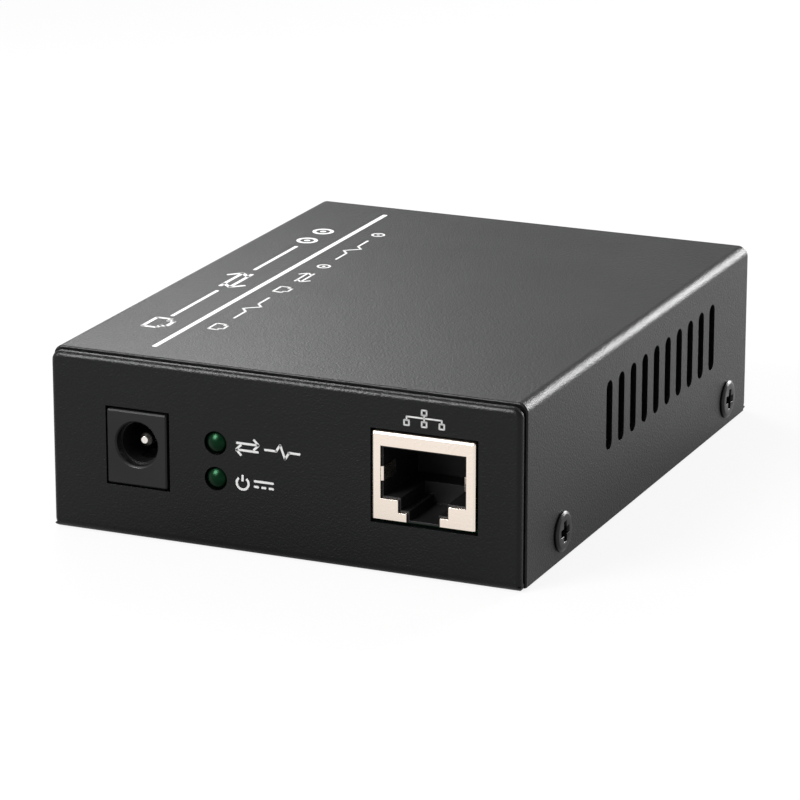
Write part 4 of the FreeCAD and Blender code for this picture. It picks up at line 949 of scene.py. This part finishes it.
def white_room():
    """World that lights softly and looks white; reflections find a dimmer ceiling above white walls."""
    world = bpy.data.worlds.new("white_room")
    world.use_nodes = True
    bpy.context.scene.world = world
    tree = world.node_tree
    lighting = tree.nodes["Background"]
    lighting.inputs["Color"].default_value = (1, 1, 1, 1)
    lighting.inputs["Strength"].default_value = ROOM_LIGHT
    shown = tree.nodes.new("ShaderNodeBackground")
    shown.inputs["Color"].default_value = (1, 1, 1, 1)
    way = tree.nodes.new("ShaderNodeTexCoord")
    parts = tree.nodes.new("ShaderNodeSeparateXYZ")
    tree.links.new(way.outputs["Generated"], parts.inputs[0])
    ceiling = ramped(tree, parts.outputs["Z"], CEILING_START, CEILING_FULL, 1.0, CEILING_SHARE)
    tree.links.new(camera_or(tree, ceiling), shown.inputs["Strength"])
    chosen = tree.nodes.new("ShaderNodeMixShader")
    tree.links.new(seen_rays(tree), chosen.inputs[0])
    tree.links.new(lighting.outputs[0], chosen.inputs[1])
    tree.links.new(shown.outputs[0], chosen.inputs[2])
    tree.links.new(chosen.outputs[0], tree.nodes["World Output"].inputs["Surface"])


def pale_floor():
    """Wide matt floor that looks white and keeps the case's shadow; for reflections alone, a painted shadow
    dims its glow near the case.

    It lies a hair under the case, and is clear from below, so that the case's underside can be seen.
    """
    bpy.ops.mesh.primitive_plane_add(size=6.0, location=(0, 0, -FLOOR_GAP))
    floor = named("floor")
    material, tree, shader = new_material("pale_floor")
    shader.inputs["Base Color"].default_value = (FLOOR_GREY, FLOOR_GREY, FLOOR_GREY, 1)
    shader.inputs["Roughness"].default_value = 0.9
    shader.inputs["Specular IOR Level"].default_value = 0.0
    shader.inputs["Emission Color"].default_value = (1, 1, 1, 1)
    place = tree.nodes.new("ShaderNodeTexCoord")
    fitted = tree.nodes.new("ShaderNodeVectorMath")
    fitted.operation = "MULTIPLY"
    fitted.inputs[1].default_value = (1.0, FLOOR_DEPTH_SHARE, 1.0)
    reach = tree.nodes.new("ShaderNodeVectorMath")
    reach.operation = "LENGTH"
    tree.links.new(place.outputs["Object"], fitted.inputs[0])
    tree.links.new(fitted.outputs["Vector"], reach.inputs[0])
    # painted shadow: near the case the floor's glow is dimmed for reflections, while the camera still sees it
    # white
    reflected_painted_shadow = ramped(tree, reach.outputs["Value"], FLOOR_NEAR, FLOOR_FAR, PAINTED_SHADOW_SHARE, 1.0)
    shaded = camera_or(tree, reflected_painted_shadow)
    glow = maths(tree, "MULTIPLY", shaded, FLOOR_GLOW)
    tree.links.new(maths(tree, "MULTIPLY", glow, seen_rays(tree)), shader.inputs["Emission Strength"])
    below = tree.nodes.new("ShaderNodeNewGeometry")
    clear = tree.nodes.new("ShaderNodeBsdfTransparent")
    either_side = tree.nodes.new("ShaderNodeMixShader")
    tree.links.new(below.outputs["Backfacing"], either_side.inputs[0])
    tree.links.new(shader.outputs[0], either_side.inputs[1])
    tree.links.new(clear.outputs[0], either_side.inputs[2])
    tree.links.new(either_side.outputs[0], tree.nodes["Material Output"].inputs["Surface"])
    floor.data.materials.append(material)


def soft_lamp(name, place, aim, size, power, glint_only=False):
    lamp = bpy.data.lights.new(name, "AREA")
    lamp.shape = "SQUARE"
    lamp.size = size
    lamp.energy = power
    holder = bpy.data.objects.new(name, lamp)
    holder.location = place
    holder.rotation_euler = (Vector(aim) - Vector(place)).to_track_quat("-Z", "Y").to_euler()
    holder.visible_camera = False
    holder.visible_diffuse = not glint_only
    bpy.context.scene.collection.objects.link(holder)


def set_lamps():
    soft_lamp("front_left_softbox", (-0.25, -0.45, 0.42), (0, 0, 0.02), 0.25, 3.0)
    soft_lamp("front_left_reflector", (-0.26, -0.47, 0.38), (0, 0, 0.02), 0.32, 7.5, glint_only=True)
    soft_lamp("back_left_softbox", (-0.14, 0.16, 0.19), (-0.02, -0.04, 0.027), 0.1, 0.3)
    soft_lamp("right_back_softbox", (0.185, 0.53, 0.245), (0.035, 0, 0.026), 0.15, 1.45)
    soft_lamp("right_back_reflector", (0.23, 0.46, 0.11), (0.036, 0, 0.015), 0.18, 2.1, glint_only=True)


def set_camera():
    """Long lens, looking down a little at the front right corner."""
    level = math.cos(CAMERA_ELEVATION)
    back = Vector((
        math.sin(CAMERA_AZIMUTH) * level, -math.cos(CAMERA_AZIMUTH) * level, math.sin(CAMERA_ELEVATION),
    ))
    lens = bpy.data.cameras.new("product_camera")
    lens.sensor_width = 36.0
    lens.lens = CAMERA_LENS
    camera = bpy.data.objects.new("product_camera", lens)
    camera.location = CAMERA_PLACE
    camera.rotation_euler = (-back).to_track_quat("-Z", "Y").to_euler()
    bpy.context.scene.collection.objects.link(camera)
    bpy.context.scene.camera = camera


# ---------------------------------------------------------------- the dressed converter
softened_nodes = soften_what_shows()
make_cover_screws()
make_light("link_light")
make_light("power_light")
finish_the_rest(softened_nodes | {"cover_screws", "link_light", "power_light"})
print_front_signs()
print_top()
white_room()
pale_floor()
set_lamps()
set_camera()
bpy.context.scene.view_settings.view_transform = "Standard"
